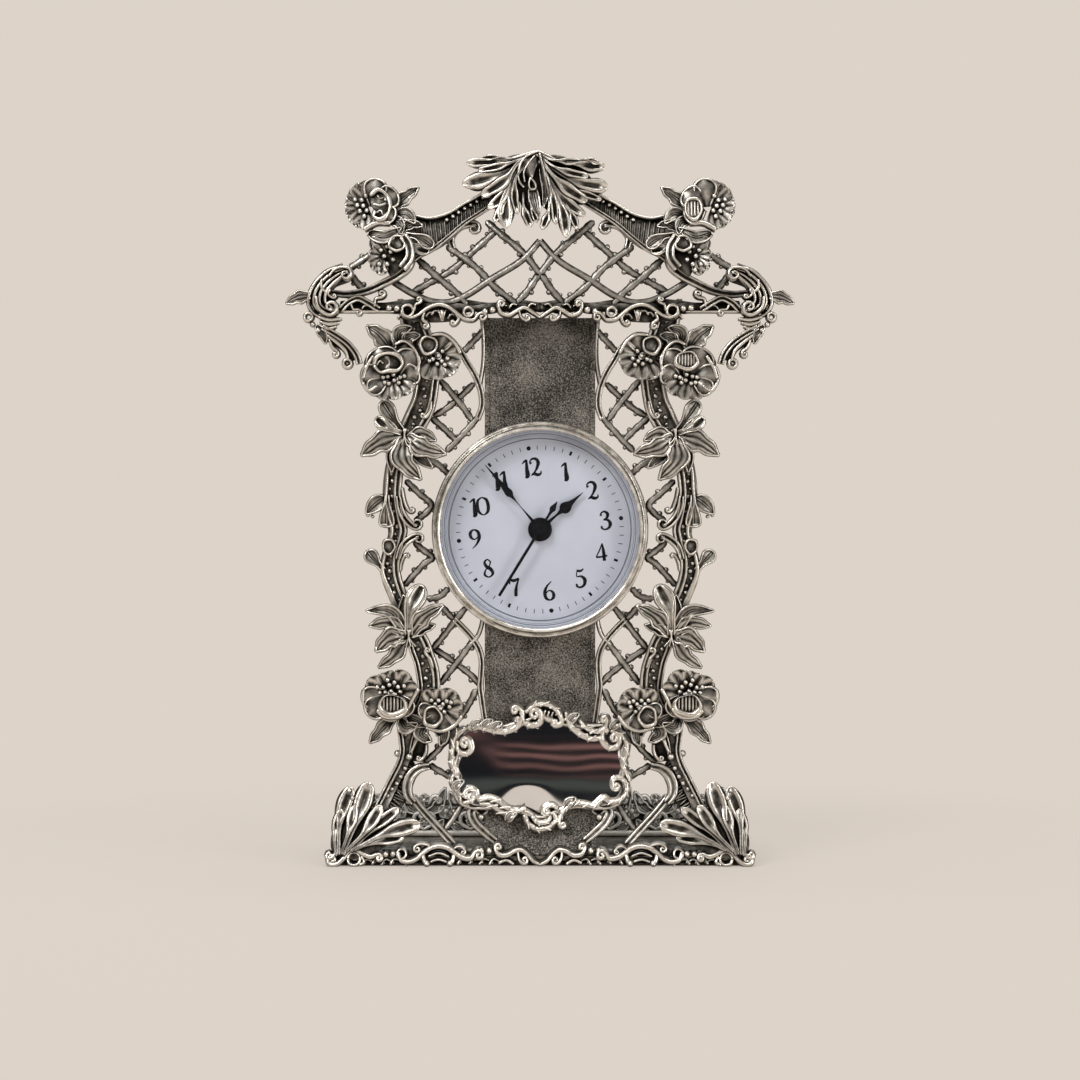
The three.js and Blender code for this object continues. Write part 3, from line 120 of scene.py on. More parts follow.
def finish(name, even, varied):
    """A material. even sets the shader's own sockets, and varied gives what changes over the surface."""
    made = bpy.data.materials.new(name)
    made.use_nodes = True
    shader = made.node_tree.nodes["Principled BSDF"]
    for socket, value in even.items():
        shader.inputs[socket].default_value = value
    for socket, value in varied(Shade(made.node_tree)).items():
        made.node_tree.links.new(value.socket, shader.inputs[socket])
    return made


def dulled(surface):
    cloud = surface.noise(180.0, 5.0)
    return {
        "Base Color": cloud.rise(0.3, 0.75).mix((0.08, 0.072, 0.06, 1), (0.4, 0.376, 0.336, 1)),
        "Roughness": 0.34 - cloud * 0.2,
        "Normal": surface.bump(surface.noise(120.0), 0.12, 0.0005),
    }


def dress(node, material, smooth_angle=None):
    """Gives a CAD node's own mesh a material."""
    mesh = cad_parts[node].data
    mesh.materials.clear()
    mesh.materials.append(material)
    if smooth_angle:
        mesh.shade_smooth()
        mesh.set_sharp_from_angle(angle=math.radians(smooth_angle))


dress("base_plate", finish("dulled_silver", {"Metallic": 1.0}, dulled))


# The front rail of the base is a band of C- and S-scrolls with beads between them, mirrored about a dip in
# the middle. It is cast with the front in silvered metal, darkened, and rubbed bright on what stands proud.
MM = 0.001
TRELLIS_BACK = -13.5
FLARE_TOP = 46
FLARE_DEPTH = 11
MOULD_BACK = 2.7
GROUND = 0.02
FRONT_MOST = cad_box[0][1] / MM + 0.05


def on_waist(x, z, forward):
    """The face of the waist, which flares forward at its foot and is ground flat where it stands."""
    z = np.maximum(z, GROUND)
    share = np.clip((FLARE_TOP - z) / FLARE_TOP, 0, 1)
    y = np.maximum(TRELLIS_BACK - FLARE_DEPTH * share**2 - forward, FRONT_MOST)
    return np.stack([x, y, z], -1) * MM


def antique(surface):
    """Bright where polishing reaches, and nearly black in the hollows. The rubbed value also holds painted
    shade at the roots of leaves and petals, and painted light on the inner face of the back wall.
    """
    rubbed = surface.node("Attribute", {"attribute_name": "wear"}, out="Fac")
    open_air = surface.node("AmbientOcclusion", {"samples": 6}, {"Distance": 0.003}, "AO")
    cloud = surface.noise(420.0, 4.0)
    bright = (rubbed + open_air * 0.55 + cloud * 0.7 - 0.86).rise(-0.08, 0.96)
    return {
        "Base Color": bright.mix((0.026, 0.0225, 0.018, 1), (0.86, 0.815, 0.74, 1)),
        "Roughness": 0.44 - bright * 0.2 + surface.noise(1500.0) * 0.08,
        "Normal": surface.bump(surface.noise(650.0, 4.0), 0.4, 0.0003),
    }


SILVER = finish("antique_silver", {"Metallic": 1.0}, antique)


def smooth(points, step=0.6):
    """Stations an even step apart on a smooth line through points."""
    points = np.asarray(points, float)
    along = np.concatenate([[0], np.cumsum(np.linalg.norm(np.diff(points, axis=0), axis=1) + 1e-6)])
    slope = np.gradient(points, along, axis=0)
    fine = np.linspace(0, along[-1], 16 * len(points))
    i = np.clip(np.searchsorted(along, fine, side="right") - 1, 0, len(along) - 2)
    span = (along[i + 1] - along[i])[:, None]
    s = (fine - along[i])[:, None] / span
    line = (
        (1 + 2 * s) * (1 - s) ** 2 * points[i]
        + s * (1 - s) ** 2 * span * slope[i]
        + s**2 * (3 - 2 * s) * points[i + 1]
        + s**2 * (s - 1) * span * slope[i + 1]
    )
    run = np.concatenate([[0], np.cumsum(np.linalg.norm(np.diff(line, axis=0), axis=1))])
    even = np.linspace(0, run[-1], max(int(run[-1] / step), 3) + 1)
    return np.stack([np.interp(even, run, column) for column in line.T], 1)


def curled(points, start=None, end=None):
    """A line that winds up at its ends. A curl is (radius, way), and way 1 turns to the left of the run."""
    points = [np.array(p, float) for p in points]

    def wind(last, before, radius, way, turns=1.15):
        run = (last - before) / np.linalg.norm(last - before)
        middle = last + way * radius * np.array([-run[1], run[0]])
        first = math.atan2(*(last - middle)[::-1])
        share = np.linspace(0, 1, 10)[1:]
        angle = first + way * turns * 2 * math.pi * share
        reach = radius * (1 - 0.72 * share)
        return list(middle + np.stack([reach * np.cos(angle), reach * np.sin(angle)], 1))

    if end:
        points = points + wind(points[-1], points[-2], *end)
    if start:
        points = wind(points[0], points[1], *start)[::-1] + points
    return points


def swell(s, low, high):
    """0 at low, 1 at high, and smooth between them."""
    s = np.clip((s - low) / (high - low), 0, 1)
    return s * s * (3 - 2 * s)


def evened(half, foot):
    """A section from its left half, edge to middle, and a point at its foot. Each row is (across, forward,
    rubbed), for a half width and a height of 1."""
    return np.array([*half, *((-across, *rest) for across, *rest in half[-2::-1]), foot])


RIDGE = evened([(-1, 0, 0.1), (-0.9, 0.45, 0.25), (-0.5, 0.88, 0.65), (0, 1, 1)], (0, -0.05, 0))


def piece(name, points, faces, material, nodes, body):
    """An object that rides on a body, in place of its CAD nodes. Gives its mesh."""
    mesh = bpy.data.meshes.new(name)
    mesh.from_pydata(points.tolist(), [], faces)
    work = bmesh.new()
    work.from_mesh(mesh)
    bmesh.ops.recalc_face_normals(work, faces=work.faces)
    work.to_mesh(mesh)
    work.free()
    mesh.shade_smooth()
    mesh.materials.append(material)
    made = bpy.data.objects.new(name, mesh)
    bpy.context.scene.collection.objects.link(made)
    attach(made, body)
    if nodes:
        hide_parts(*nodes)
    return mesh


class Casting:
    """The cast forms of one piece, on one face of the front, mirrored where side is -1."""

    def __init__(self, lay, side=1):
        self.lay = lay
        self.side = side
        self.points = []
        self.faces = []
        self.wear = []
        self.count = 0

    def skin(self, rings, wear):
        """A closed body through rings of (x, z, forward) that each go round a section."""
        along, around = rings.shape[:2]
        index = self.count + np.arange(along * around).reshape(along, around)
        here, after = index[:-1], index[1:]
        quads = np.stack([here, np.roll(here, -1, 1), np.roll(after, -1, 1), after], -1)
        self.faces += quads.reshape(-1, 4).tolist() + [index[0, ::-1].tolist(), index[-1].tolist()]
        flat = rings.reshape(-1, 3)
        self.points.append(self.lay(self.side * flat[:, 0], flat[:, 1], flat[:, 2]))
        self.wear.append(np.broadcast_to(wear, (along, around)).ravel())
        self.count += along * around

    def strand(self, points, half, high, back=MOULD_BACK, section=RIDGE, step=0.6, rim=0.0, shade=0.0):
        """A moulding along a line. Half width, height and depth may be functions of the share along it, and a
        pair of sections goes over from one to the other. Its end has a rim, and its root is darkened as
        painted shade."""
        line = smooth(points, step)
        share = np.linspace(0, 1, len(line))
        half, high, back = (
            np.broadcast_to(size(share) if callable(size) else size, share.shape)[:, None]
            for size in (half, high, back)
        )
        run = np.gradient(line, axis=0)
        run /= np.linalg.norm(run, axis=1, keepdims=True)
        root, end = section if isinstance(section, tuple) else (section, section)
        over = swell(share, 0.45, 0.7)[:, None, None]
        across, forward, rubbed = np.moveaxis(root * (1 - over) + end * over, -1, 0)
        # Painted shade: the rubbed value falls towards the root.
        rubbed = rubbed * (1 - shade * (1 - swell(share, 0, 0.8)))[:, None]
        x = line[:, :1] - run[:, 1:] * across * half
        z = line[:, 1:] + run[:, :1] * across * half
        edge = rim * swell(share, 0.84, 0.95)[:, None]
        forward = forward + (np.maximum(forward, 0.85) - forward) * edge * (forward > 0)
        self.skin(np.stack([x, z, back + forward * high], -1), np.maximum(rubbed, edge * (forward > 0)))

    def bead(self, x, z, forward, radius, tall=1.0, polish=0.66):
        """A round bead, tall times as deep as it is wide."""
        up = np.linspace(-0.98, 0.98, 6)[:, None] * math.pi / 2
        turn = np.linspace(0, 2 * math.pi, 9)[None, :-1]
        flat = radius * np.cos(up)
        rings = [x + flat * np.cos(turn), z + flat * np.sin(turn),
                 forward + radius * tall * np.sin(up) + 0 * turn]
        self.skin(np.stack(rings, -1), polish * np.clip(0.15 + 0.95 * np.sin(up), 0, 1))

    def ring(self, x, z, radius, half, high, back=MOULD_BACK):
        """A strand that closes on itself."""
        turn = np.linspace(0, 2 * math.pi, 13)
        self.strand(np.stack([x + radius * np.cos(turn), z + radius * np.sin(turn)], 1), half, high, back,
                    step=0.4)

    def beads(self, places, forward, radius):
        for x, z in places:
            self.bead(x, z, forward, radius)

    def scroll(self, points, half, high, start=None, end=None, back=MOULD_BACK, section=RIDGE):
        """A strand that winds up at its ends, thin there, round a bead."""
        line = curled(points, start, end)
        thin = lambda s: half * (0.68 + 0.32 * np.sin(math.pi * s) ** 0.7)
        self.strand(line, thin, high, back, section)
        for curl, tip in ((start, line[0]), (end, line[-1])):
            if curl:
                self.bead(*tip, back + high * 0.75, curl[0] * 0.34)

    def make(self, name, *nodes, body="casework", material=SILVER, slot="silver"):
        mesh = piece(name, np.concatenate(self.points), self.faces, material, nodes, body)
        wear = mesh.attributes.new("wear", "FLOAT", "POINT")
        wear.data.foreach_set("value", np.concatenate(self.wear))


def joined(castings):
    """Several castings as one."""
    first = castings[0]
    for other in castings[1:]:
        first.faces += [[i + first.count for i in face] for face in other.faces]
        first.points += other.points
        first.wear += other.wear
        first.count += other.count
    return first


SLAB = np.array([(-1, 0, 0), (-1, 0.8, 0.15), (-0.9, 1, 0.15), (0.9, 1, 0.15), (1, 0.8, 0.15), (1, 0, 0)])
STRIP = SLAB + (0, 0, 0.22)
RAIL_BITS = [
    (56.6, 1.2), (53.4, 1.5), (50.4, 1.2), (47.4, 1.4), (42.4, 0.9),
    (25.4, 1.4), (21.6, 1.6), (18.2, 1.4), (15, 1.3),
]
halves = []
for sign in (-1, 1):
    rail = Casting(on_waist, sign)
    # These two dark strips behind the scrolls are painted shade: they stand for the shaded hollow of the base
    # seen between the scrolls.
    rail.strand([(69, 0.8), (0, 0.8)], 0.75, 1.2, 1.2, STRIP, step=2)
    rail.strand([(64, 4), (0, 4)], 1.1, 0.8, 0.9, STRIP, step=2)
    rail.scroll([(66.9, 0.9), (64.6, 2.6), (62.8, 4.9), (60.6, 5.5), (58, 4.1), (55.6, 3.2), (53.2, 4)], 1.3,
                3.4, start=(1.9, 1), end=(1.2, 1))
    rail.ring(61, 2.5, 2, 0.85, 3)
    rail.strand([(58.6, 3.4), (57.6, 1.4), (59.2, 0.7)], 0.8, 3)
    rail.beads([(50.6, 4.1), (48.2, 4.2)], 5, 1.2)
    for x, z in RAIL_BITS:
        rail.bead(x + 0.9, z, 3.2, 0.75)
        rail.strand([(x + 1.7, z - 0.7), (x + 0.3, z + 1.1), (x - 1.5, z + 0.5)], lambda s: 0.75 - 0.4 * s,
                    2.6, 2)
    rail.ring(45.4, 4.1, 1.5, 0.7, 3.2)
    rail.scroll([(46.5, 4.6), (45.6, 2.2), (43.4, 1.6), (40.8, 2.4), (38.4, 4.4), (35.8, 6), (33, 6.5),
                 (30, 5.8), (27.6, 4.2), (25.2, 2.9), (22.6, 2.8), (21.4, 4.6)], 1.3, 3.6, end=(1.6, 1))
    rail.scroll([(36, 6.4), (38.4, 7.1), (40.4, 6.9)], 0.8, 3.2, end=(1.3, -1))
    for foot, way in ((38.4, -1), (28.2, 1)):
        rail.strand([(foot, 4.2), (foot + way * 0.3, 2.4), (foot + way * 1.1, 1)], 1.15, 3.2)
        rail.bead(foot + way * 1.3, 1.1, 5, 1.2)
    rail.strand([(36.6, 3.3), (33.2, 4.3), (30, 3.3)], 0.6, 3)
    rail.strand([(36, 1.6), (33.2, 2.3), (30.6, 1.6)], 0.6, 3)
    rail.scroll([(24.8, 5.4), (26.6, 6.4), (28.4, 5.7)], 0.7, 3, start=(0.9, 1))
    rail.beads([(19.3, 5.1), (16.7, 5.1)], 5, 1.2)
    rail.scroll([(14.6, 5.4), (13.2, 3.8), (10.8, 3.7), (8.4, 5), (6.2, 5.3), (4.2, 4), (2, 1.7), (0, 0.8)],
                1.2, 3.4, start=(1.2, 1))
    rail.scroll([(7.2, 4.6), (7, 2.8), (6.2, 1.5)], 0.9, 3.2, end=(1.3, -1))
    rail.strand([(13.6, 1.2), (11.2, 2.1), (8.6, 0.9)], 0.75, 2.8)
    halves.append(rail)
joined(halves).make("front_rail_scrolls", "base_front_rail")


# The walls of the base at the back and the sides are low galleries: leaves and blossoms in relief between a
# foot bar and a thin top bar, in the same cast and rubbed metal. The inner face of the back wall lies in the
# shade of the front, and has painted light and painted shade on its relief.
LEAF = evened([
    (-1, 0.15, 0.08), (-0.92, 0.9, 0.5), (-0.8, 1, 0.9), (-0.62, 0.6, 0.22),
    (-0.3, 0.6, 0.44), (-0.1, 0.45, 0), (0, 0.8, 0.78),
], (0, -0.15, 0))
HEM = evened([(-1, -0.2, 0), (-0.6, 0.6, 0.45), (0, 1, 1)], (0, -0.3, 0))


def lance(s):
    """The half width of a pointed leaf."""
    return np.maximum(0.3 * (1 - s) + 0.85 * np.sin(math.pi * s**0.85) ** 0.75, 0.06)


def lobed(s):
    """The half width of a leaf with a scalloped edge."""
    return lance(s) * (0.88 + 0.12 * np.cos(5 * math.pi * s))


def shell(s):
    """The half width of a petal, wide from near its root, with a round end."""
    neck = 0.3 + 0.7 * np.sin(np.clip(s / 0.7, 0, 1) * math.pi / 2) ** 1.2
    return neck * np.sqrt(np.clip(1 - (np.clip(s - 0.66, 0, 1) / 0.345) ** 2, 0.004, 1))


def leaf(casting, points, half, back, outline=lance, section=LEAF, thick=1.6, lift=1.4, tip=0.0, rim=0.9,
         shade=0.3, hemmed=True):
    """A leaf from root to tip, bowed forward by lift between them and by tip at its end. A rounded hem runs
    round its edge, or a rim over its end where it isn't hemmed. A bed, with rim 0, has neither."""
    rise = lambda s: back + lift * np.sin(math.pi * s) + tip * s**2
    end_rim = 0.0 if hemmed else rim
    casting.strand(points, lambda s: half * outline(s), thick, rise, section, 0.45, end_rim, shade)
    if rim and hemmed:
        line = smooth(points, 0.7)
        run = np.gradient(line, axis=0)
        across = np.stack([-run[:, 1], run[:, 0]], 1) / np.linalg.norm(run, axis=1, keepdims=True)
        wide = 0.84 * half * outline(np.linspace(0, 1, len(line)))[:, None]
        edge = np.concatenate([line + across * wide, (line - across * wide)[::-1]])
        over = lambda s: rise(1 - abs(2 * s - 1)) + 0.55 * thick
        casting.strand(edge, min(0.55, 0.18 + 0.1 * half), 0.9, over, HEM)


DRAWN_HIGH = 13.6
OUTER_SET = 2.6
INNER_SET = 2.4
INNER_PAINTED_LIGHT = 2.7
INNER_PAINTED_SHADE = 0.32
SIDES = {"left": -1, "right": 1}


def gallery(casting, start, end, count, foot=0):
    """Hearts, blossoms and leaves between two bars, over a floor of that height."""
    step = (end - start) / count
    squat = (DRAWN_HIGH - foot) / DRAWN_HIGH
    up = lambda z: foot + z * squat
    casting.strand([(start, 7.5), (end, 7.5)], 7, 0.5, 0.1, SLAB, step=3)
    casting.strand([(start, up(1.4)), (end, up(1.4))], 1.35, 2.3, 0.1, step=2)
    casting.strand([(start, 14.7), (end, 14.7)], 0.95, 1.2, 0.4, SLAB, step=2)
    for i in range(count):
        at = start + step * (i + 0.5)
        for way in (-1, 1):
            heart = [(at, up(3.2)), (at + way * 3.4, up(6.4)), (at + way * 3.2, up(9.6)),
                     (at + way * 1.4, up(10.6))]
            low = [(at + way * 2.4, up(3.6)), (at + way * 5, up(4.6)), (at + way * 6.8, up(7.6))]
            curl = [(at + way * 1.6, 14.4), (at + way * 3.6, 17), (at + way * 5.4, 16.4)]
            high = [(at + way * 1.2, up(10.6)), (at + way * 4.2, up(12.6)),
                    (at + way * 7.4, 19.2 + 0.7 * way)]
            casting.scroll(heart, 0.85, 1.7, end=(1.1, way), back=0.5)
            leaf(casting, low, 1.7, 0.6, lift=0.2, thick=0.9)
            casting.scroll(curl, 0.8, 1.4, end=(1, -way), back=0.5)
            leaf(casting, high, 2.3, 0.5, lobed, lift=0.3, thick=0.9)
        for x, z, reach in ((at, up(6.6), 1.7), (at, 15.6, 2.3), (at + step / 2 - 0.4, up(11.4), 2.9)):
            for angle in np.arange(5) * 0.4 * math.pi + 0.3 * x:
                tip = (x + reach * math.cos(angle), z + reach * math.sin(angle))
                middle = ((x + tip[0]) / 2, (z + tip[1]) / 2)
                leaf(casting, [(x, z), middle, tip], 0.52 * reach, 0.7, shell, thick=1, lift=0.3,
                     hemmed=False)
            casting.bead(x, z, 1.5, 0.34 * reach)


back_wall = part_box("base_rear_gallery")
wall_back = back_wall[1].y / MM
wall_ends = (back_wall[0].x / MM, back_wall[1].x / MM)
outside = Casting(lambda x, z, forward: np.stack([x, wall_back - OUTER_SET + forward, z], -1) * MM)
gallery(outside, *wall_ends, 8)
inside = Casting(lambda x, z, forward: np.stack([x, wall_back - INNER_SET - forward, z], -1) * MM)
gallery(inside, *wall_ends, 8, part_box("base_plate")[1].z / MM)
# The inner face lies in the shade of the front: its rubbed values are scaled up as painted light on its
# relief, and lowered as painted shade in its gaps.
inside.wear = [INNER_PAINTED_LIGHT * rubbed - INNER_PAINTED_SHADE for rubbed in inside.wear]
# This silver is far less metallic than the rest, so that the shaded inner face takes more of the lamps'
# light.
GALLERY_SILVER = finish("gallery_silver", {"Metallic": 0.15}, antique)
joined([outside, inside]).make("rear_gallery", "base_rear_gallery", material=GALLERY_SILVER)
for side, sign in SIDES.items():
    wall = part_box(f"base_side_skirt_{side}")
    outer = (wall[0].x if sign < 0 else wall[1].x) / MM
    skirt = Casting(lambda y, z, forward: np.stack([outer + sign * (forward - OUTER_SET), y, z], -1) * MM)
    gallery(skirt, wall[0].y / MM, wall[1].y / MM, 3)
    skirt.make(f"side_gallery_{side}", f"base_side_skirt_{side}")


# The centre panel is a strip with a raised rib along each edge, and the collar for the insert cast into it.
# Its face is punched all over with fine dots, and oxidised, worn in clouds all over it.
def stippled(surface):
    dots = surface.node("TexVoronoi", {}, {"Vector": surface.place(), "Scale": 2000.0}, "Distance")
    cloud = surface.noise(110.0, 6.0)
    grain = surface.noise(1900.0, 3.0)
    worn = (cloud * 0.9 + dots * 0.7 + grain * 1.3 - 1.1).rise(0.02, 0.84)
    return {
        "Base Color": worn.mix((0.03, 0.027, 0.023, 1), (0.32, 0.298, 0.265, 1)),
        "Roughness": 0.66 - worn * 0.2,
        "Normal": surface.bump(dots, 0.6, 0.0003),
    }


dress("centre_panel", finish("stippled_silver", {"Metallic": 0.85}, stippled), 40)


# The trellis beside the panel, and in the flared foot, is cast as knotty twigs that cross in two layers, with
# small buds where shoots were cut. Two ridged bows run beside the panel.
TWIG = np.array([
    (math.cos(a), 0.5 + 0.5 * math.sin(a), 0.56 * max(0.0, math.sin(a)) ** 7)
    for a in np.linspace(0, 2 * math.pi, 13)[:-1]
])
REED = evened([(-1, 0, 0.1), (-0.95, 0.6, 0.4), (-0.6, 1, 1), (-0.24, 0.75, 0.4), (0, 0.62, 0.1)],
              (0, -0.05, 0))
BAR_DEEP = 2.4
LAYER_STEP = 0.9


def twig(casting, points, layer, half=1.15):
    """A knotty bar in the back layer, 0, or the front one, 1, with a bud on either side in turn."""
    knots = 7 * len(points)
    knotty = lambda s: 1 + 0.09 * np.sin(knots * s + points[0][0]) + 0.06 * np.sin(2.6 * knots * s)
    width = lambda s: half * knotty(s) * np.sqrt(np.clip(1 - (2 * s - 1) ** 24, 0.05, 1))
    back = layer * LAYER_STEP
    casting.strand(points, width, BAR_DEEP - LAYER_STEP, back, TWIG)
    line = smooth(points, 3.1)
    run = np.gradient(line, axis=0)
    for i in range(1, len(line) - 1):
        way = 1 if i % 2 else -1
        across = np.array([-run[i, 1], run[i, 0]]) / np.linalg.norm(run[i])
        casting.bead(*(line[i] + way * across * half), back + 0.3, 0.65 + 0.18 * (i % 3), polish=0.4)


SIDE_UPPER = [
    ([(33.8, 160.8), (30, 156.6), (26.4, 152.2), (22.6, 146.8)], 1),
    ([(21.9, 159.4), (27, 154.4), (31, 151), (35.6, 148.2)], 0),
    ([(36.2, 147.8), (32.5, 144.6), (28, 140.2)], 1),
    ([(25.6, 169.6), (22.4, 173), (18.8, 177)], 1),
    ([(37.4, 134.2), (33.5, 131.8), (30.4, 128.8)], 0),
    ([(44.9, 127), (40.6, 122.8), (36.3, 118.3), (38.4, 115.6), (42, 113)], 1),
    ([(20.6, 148), (24.8, 143.2), (28, 139.8), (31.4, 136.4)], 1),
]
SIDE_LOWER = [
    ([(35.6, 70.8), (31, 68), (27, 65), (23.6, 62.4), (20, 58.6)], 0),
    ([(35.8, 70.6), (32.4, 74.8), (28.8, 79.4), (24.6, 84.6)], 1),
    ([(33.4, 58.8), (30, 63.2), (27, 67), (24.4, 70.6), (21.6, 74.2)], 1),
    ([(28, 46.4), (25.5, 49.4), (23, 53.6), (21.2, 57.4)], 1),
    ([(42.2, 106.6), (38.6, 103.4), (35.8, 101), (38.2, 99.4), (41.6, 95.8), (45.4, 91.6)], 1),
    ([(37.8, 87.2), (33.4, 88.2), (30.4, 91)], 0),
    ([(33, 85), (29.6, 81.4), (27.8, 79.6)], 0),
]
BOW_UPPER = [
    (30.6, 173.6), (27.8, 171.6), (24.6, 166.6), (21.4, 161.2), (19.7, 156.4), (19.4, 151.6), (20.9, 147.2),
]
BOW_LOWER = [
    (28.6, 80.6), (25.6, 77.6), (22.6, 74.2), (20.4, 70.6), (19.5, 67), (19.6, 62), (19.9, 58), (19.4, 54),
    (18.8, 49.6), (18.2, 46),
]
RIB_UPPER = [(19.4, 182), (18.8, 174), (18.9, 166), (20, 159)]
RIB_LOWER = [(19, 83), (19.4, 79), (20.8, 75), (23.6, 72)]
SPINE_UPPER = [(40.2, 166), (38.6, 156), (40.6, 149), (44.6, 140), (48, 130.4), (48.6, 121), (46.4, 113)]
SPINE_LOWER = [(46.4, 108), (48.6, 100), (48, 91), (44.6, 81), (40.6, 72), (38.6, 65), (38.2, 56)]
SIDE_TRELLIS = {
    "upper": (SIDE_UPPER, BOW_UPPER, RIB_UPPER, SPINE_UPPER),
    "lower": (SIDE_LOWER, BOW_LOWER, RIB_LOWER, SPINE_LOWER),
}
for side, sign in SIDES.items():
    for end, (bars, bow, rib, spine) in SIDE_TRELLIS.items():
        trellis = Casting(on_waist, sign)
        for points, layer in bars:
            twig(trellis, points, layer)
        trellis.strand(bow, 1.1, 2.4, 0.3, REED)
        trellis.strand(rib, 0.8, 2.2, 0.3)
        trellis.strand(spine, 1.1, 1.8, 0.2, SLAB)
        trellis.make(f"side_trellis_{end}_{side}_twigs", f"side_trellis_{end}_{side}")

FOOT_BARS = [
    ([(38.6, 32.8), (35, 36), (32.4, 38.8), (29.6, 42.4), (27.4, 46)], 1),
    ([(37, 32.2), (33, 29.8), (28, 27.2)], 0),
    ([(43.6, 40), (40, 36.4), (37.4, 33.2)], 0),
    ([(46.6, 36), (42, 31.5)], 1),
    ([(31.4, 11.2), (28.6, 15), (25.8, 19.4)], 1),
]
for side, sign in SIDES.items():
    trellis = Casting(on_waist, sign)
    for points, layer in FOOT_BARS:
        twig(trellis, points, layer, 1.1)
    trellis.strand([(36.8, 31.9), (40, 31.2), (42.4, 29.4), (44, 26), (43.7, 22.4), (41.8, 20)],
                   lambda s: 1.2 + 0.8 * np.sin(math.pi * s), 2.8, 1.8, REED)
    trellis.strand([(42.4, 21.4), (38.6, 17), (35.4, 13.6), (32.4, 10.6), (28.6, 6.6)], 1.35, 2.4, 1, REED)
    trellis.scroll([(14.6, 7.6), (18.4, 10.6), (21.6, 13.8), (22.8, 16.6), (21.6, 19.2)], 1.7, 2.6,
                   end=(2.2, 1), back=0.6, section=REED)
    trellis.bead(19.5, 15.5, 3, 1.3)
    trellis.strand([(36, 46), (42.6, 42), (46, 34), (50.6, 24), (58, 9.2)], 1.2, 1.9, 0.2, SLAB)
    trellis.make(f"foot_trellis_{side}_twigs", f"foot_trellis_{side}")


# Each post is cast as a blackened bed between two bright rails that swings out and in from the pediment to
# the corner of the base. A row of pearls lies on the bed, and curls and pairs of buds stand on the rails.
POST_OUTER = [(46.4, 187), (45.6, 180), (43.6, 173), (41.2, 166), (40.5, 161), (40.9, 158), (41.7, 153.9),
              (43.4, 150), (45.2, 146), (47.8, 140), (49.7, 134), (50.5, 130), (50.9, 124.6), (51.1, 120),
              (50.2, 115), (49, 110.5), (50, 106), (51.8, 101), (52.3, 97), (51.6, 94), (50.4, 91.2),
              (48.3, 86), (45.6, 80), (43.6, 74), (42.4, 70), (41.2, 66.9), (40.2, 62), (39.8, 57), (41, 53),
              (44, 49), (46.4, 45), (46.1, 40.9), (45.8, 36.4), (46.6, 33.4), (48.9, 28.6), (51.5, 23.4),
              (54.7, 17), (58.4, 10.4)]
POST_INNER = [(40.2, 187), (38.8, 180), (36.6, 173), (35, 166), (34.7, 161), (35, 158), (35.5, 154.2),
              (36.5, 150), (38.4, 146), (41.4, 141), (44.2, 136), (46.2, 131.6), (47.2, 126), (47.4, 122),
              (47, 118), (46.2, 114), (45.4, 110.5), (46, 107), (47.2, 103), (47.8, 99), (47.3, 94.2),
              (46.3, 91), (44.8, 87.4), (42.4, 82), (40.2, 77), (38, 73), (36.4, 68.6), (35, 64.2),
              (34.5, 58.8), (35, 54), (37.4, 49.4), (40.4, 44.4), (42.2, 40), (42.9, 36), (44.4, 32.6),
              (46.6, 28), (48.9, 23), (52, 16.4), (55.6, 9.4)]


def between(one, other, count=40):
    """The line halfway between two lines."""
    pair = [smooth(line, 0.5) for line in (one, other)]
    return sum(line[np.linspace(0, len(line) - 1, count).astype(int)] for line in pair) / 2


POST_BED = between(POST_OUTER, POST_INNER)
RIDGE_WIDE = evened([*RIDGE[:3].tolist(), (-0.2, 0.97, 0.9), (0, 1, 1)], (0, -0.05, 0))
HATCHED = [(42.2, 32.6), (43.4, 29.4), (44.8, 25.8), (46.4, 22.4), (49, 18)]
FOOT_PEARLS = [(44.8, 31.3), (46.2, 28.6), (47.5, 26.4), (49, 24.6), (50.5, 22.4)]


def spoon(s):
    """The half width of a lobe with a narrow neck and a round end."""
    neck = 0.36 + 0.64 * swell(s, 0.28, 0.76)
    return neck * np.sqrt(np.clip(1 - (np.clip(s - 0.74, 0, 1) / 0.265) ** 2, 0.004, 1))


# The rim of a bowl, from its foot over its edge into its hollow: (inward, shrink, up, rubbed).
BOWL = [
    (0, 0.15, -0.3, 0.1), (0, 0, 0.2, 0.2), (0, 0.02, 0.6, 0.35), (0.4, 0, 0.94, 0.8), (0.7, 0, 1, 1),
    (1, 0, 0.78, 0.5), (1, 0.14, 0.42, 0.02), (1, 0.5, 0.26, 0.2), (1, 0.95, 0.3, 0.42),
]


def scoop(casting, x, z, back, wide, high, deep, shift=(0, 0), ribs=0):
    """An oval bowl with a rolled rim, thinner on the side its hollow shifts to."""
    angle = np.linspace(0, 2 * math.pi, 33)[:-1]
    wobble = 1 + 0.04 * np.sin(3 * angle + x) + 0.03 * np.sin(5 * angle + z)
    rings = []
    for inward, shrink, up, _ in BOWL:
        size = (1 - 0.3 * inward) * (1 - shrink) * wobble
        u = shift[0] * inward + wide * size * np.cos(angle)
        v = shift[1] * inward + high * size * np.sin(angle)
        rings.append(np.stack([x + u, z + v, 0 * u + back + deep * up], -1))
    casting.skin(np.stack(rings), np.array(BOWL)[:, 3:])
    for k in range(ribs):
        across = (2 * (k + 0.5) / ribs - 1) * 0.66 * wide
        reach = 0.68 * high * math.sqrt(1 - (across / wide) ** 2)
        rib = [(x + shift[0] + across, z + shift[1] - reach), (x + shift[0] + across, z + shift[1] + reach)]
        casting.strand(rib, 0.62, deep * 0.4, back + deep * 0.25, RIDGE * (1, 1, 0.7), step=1)


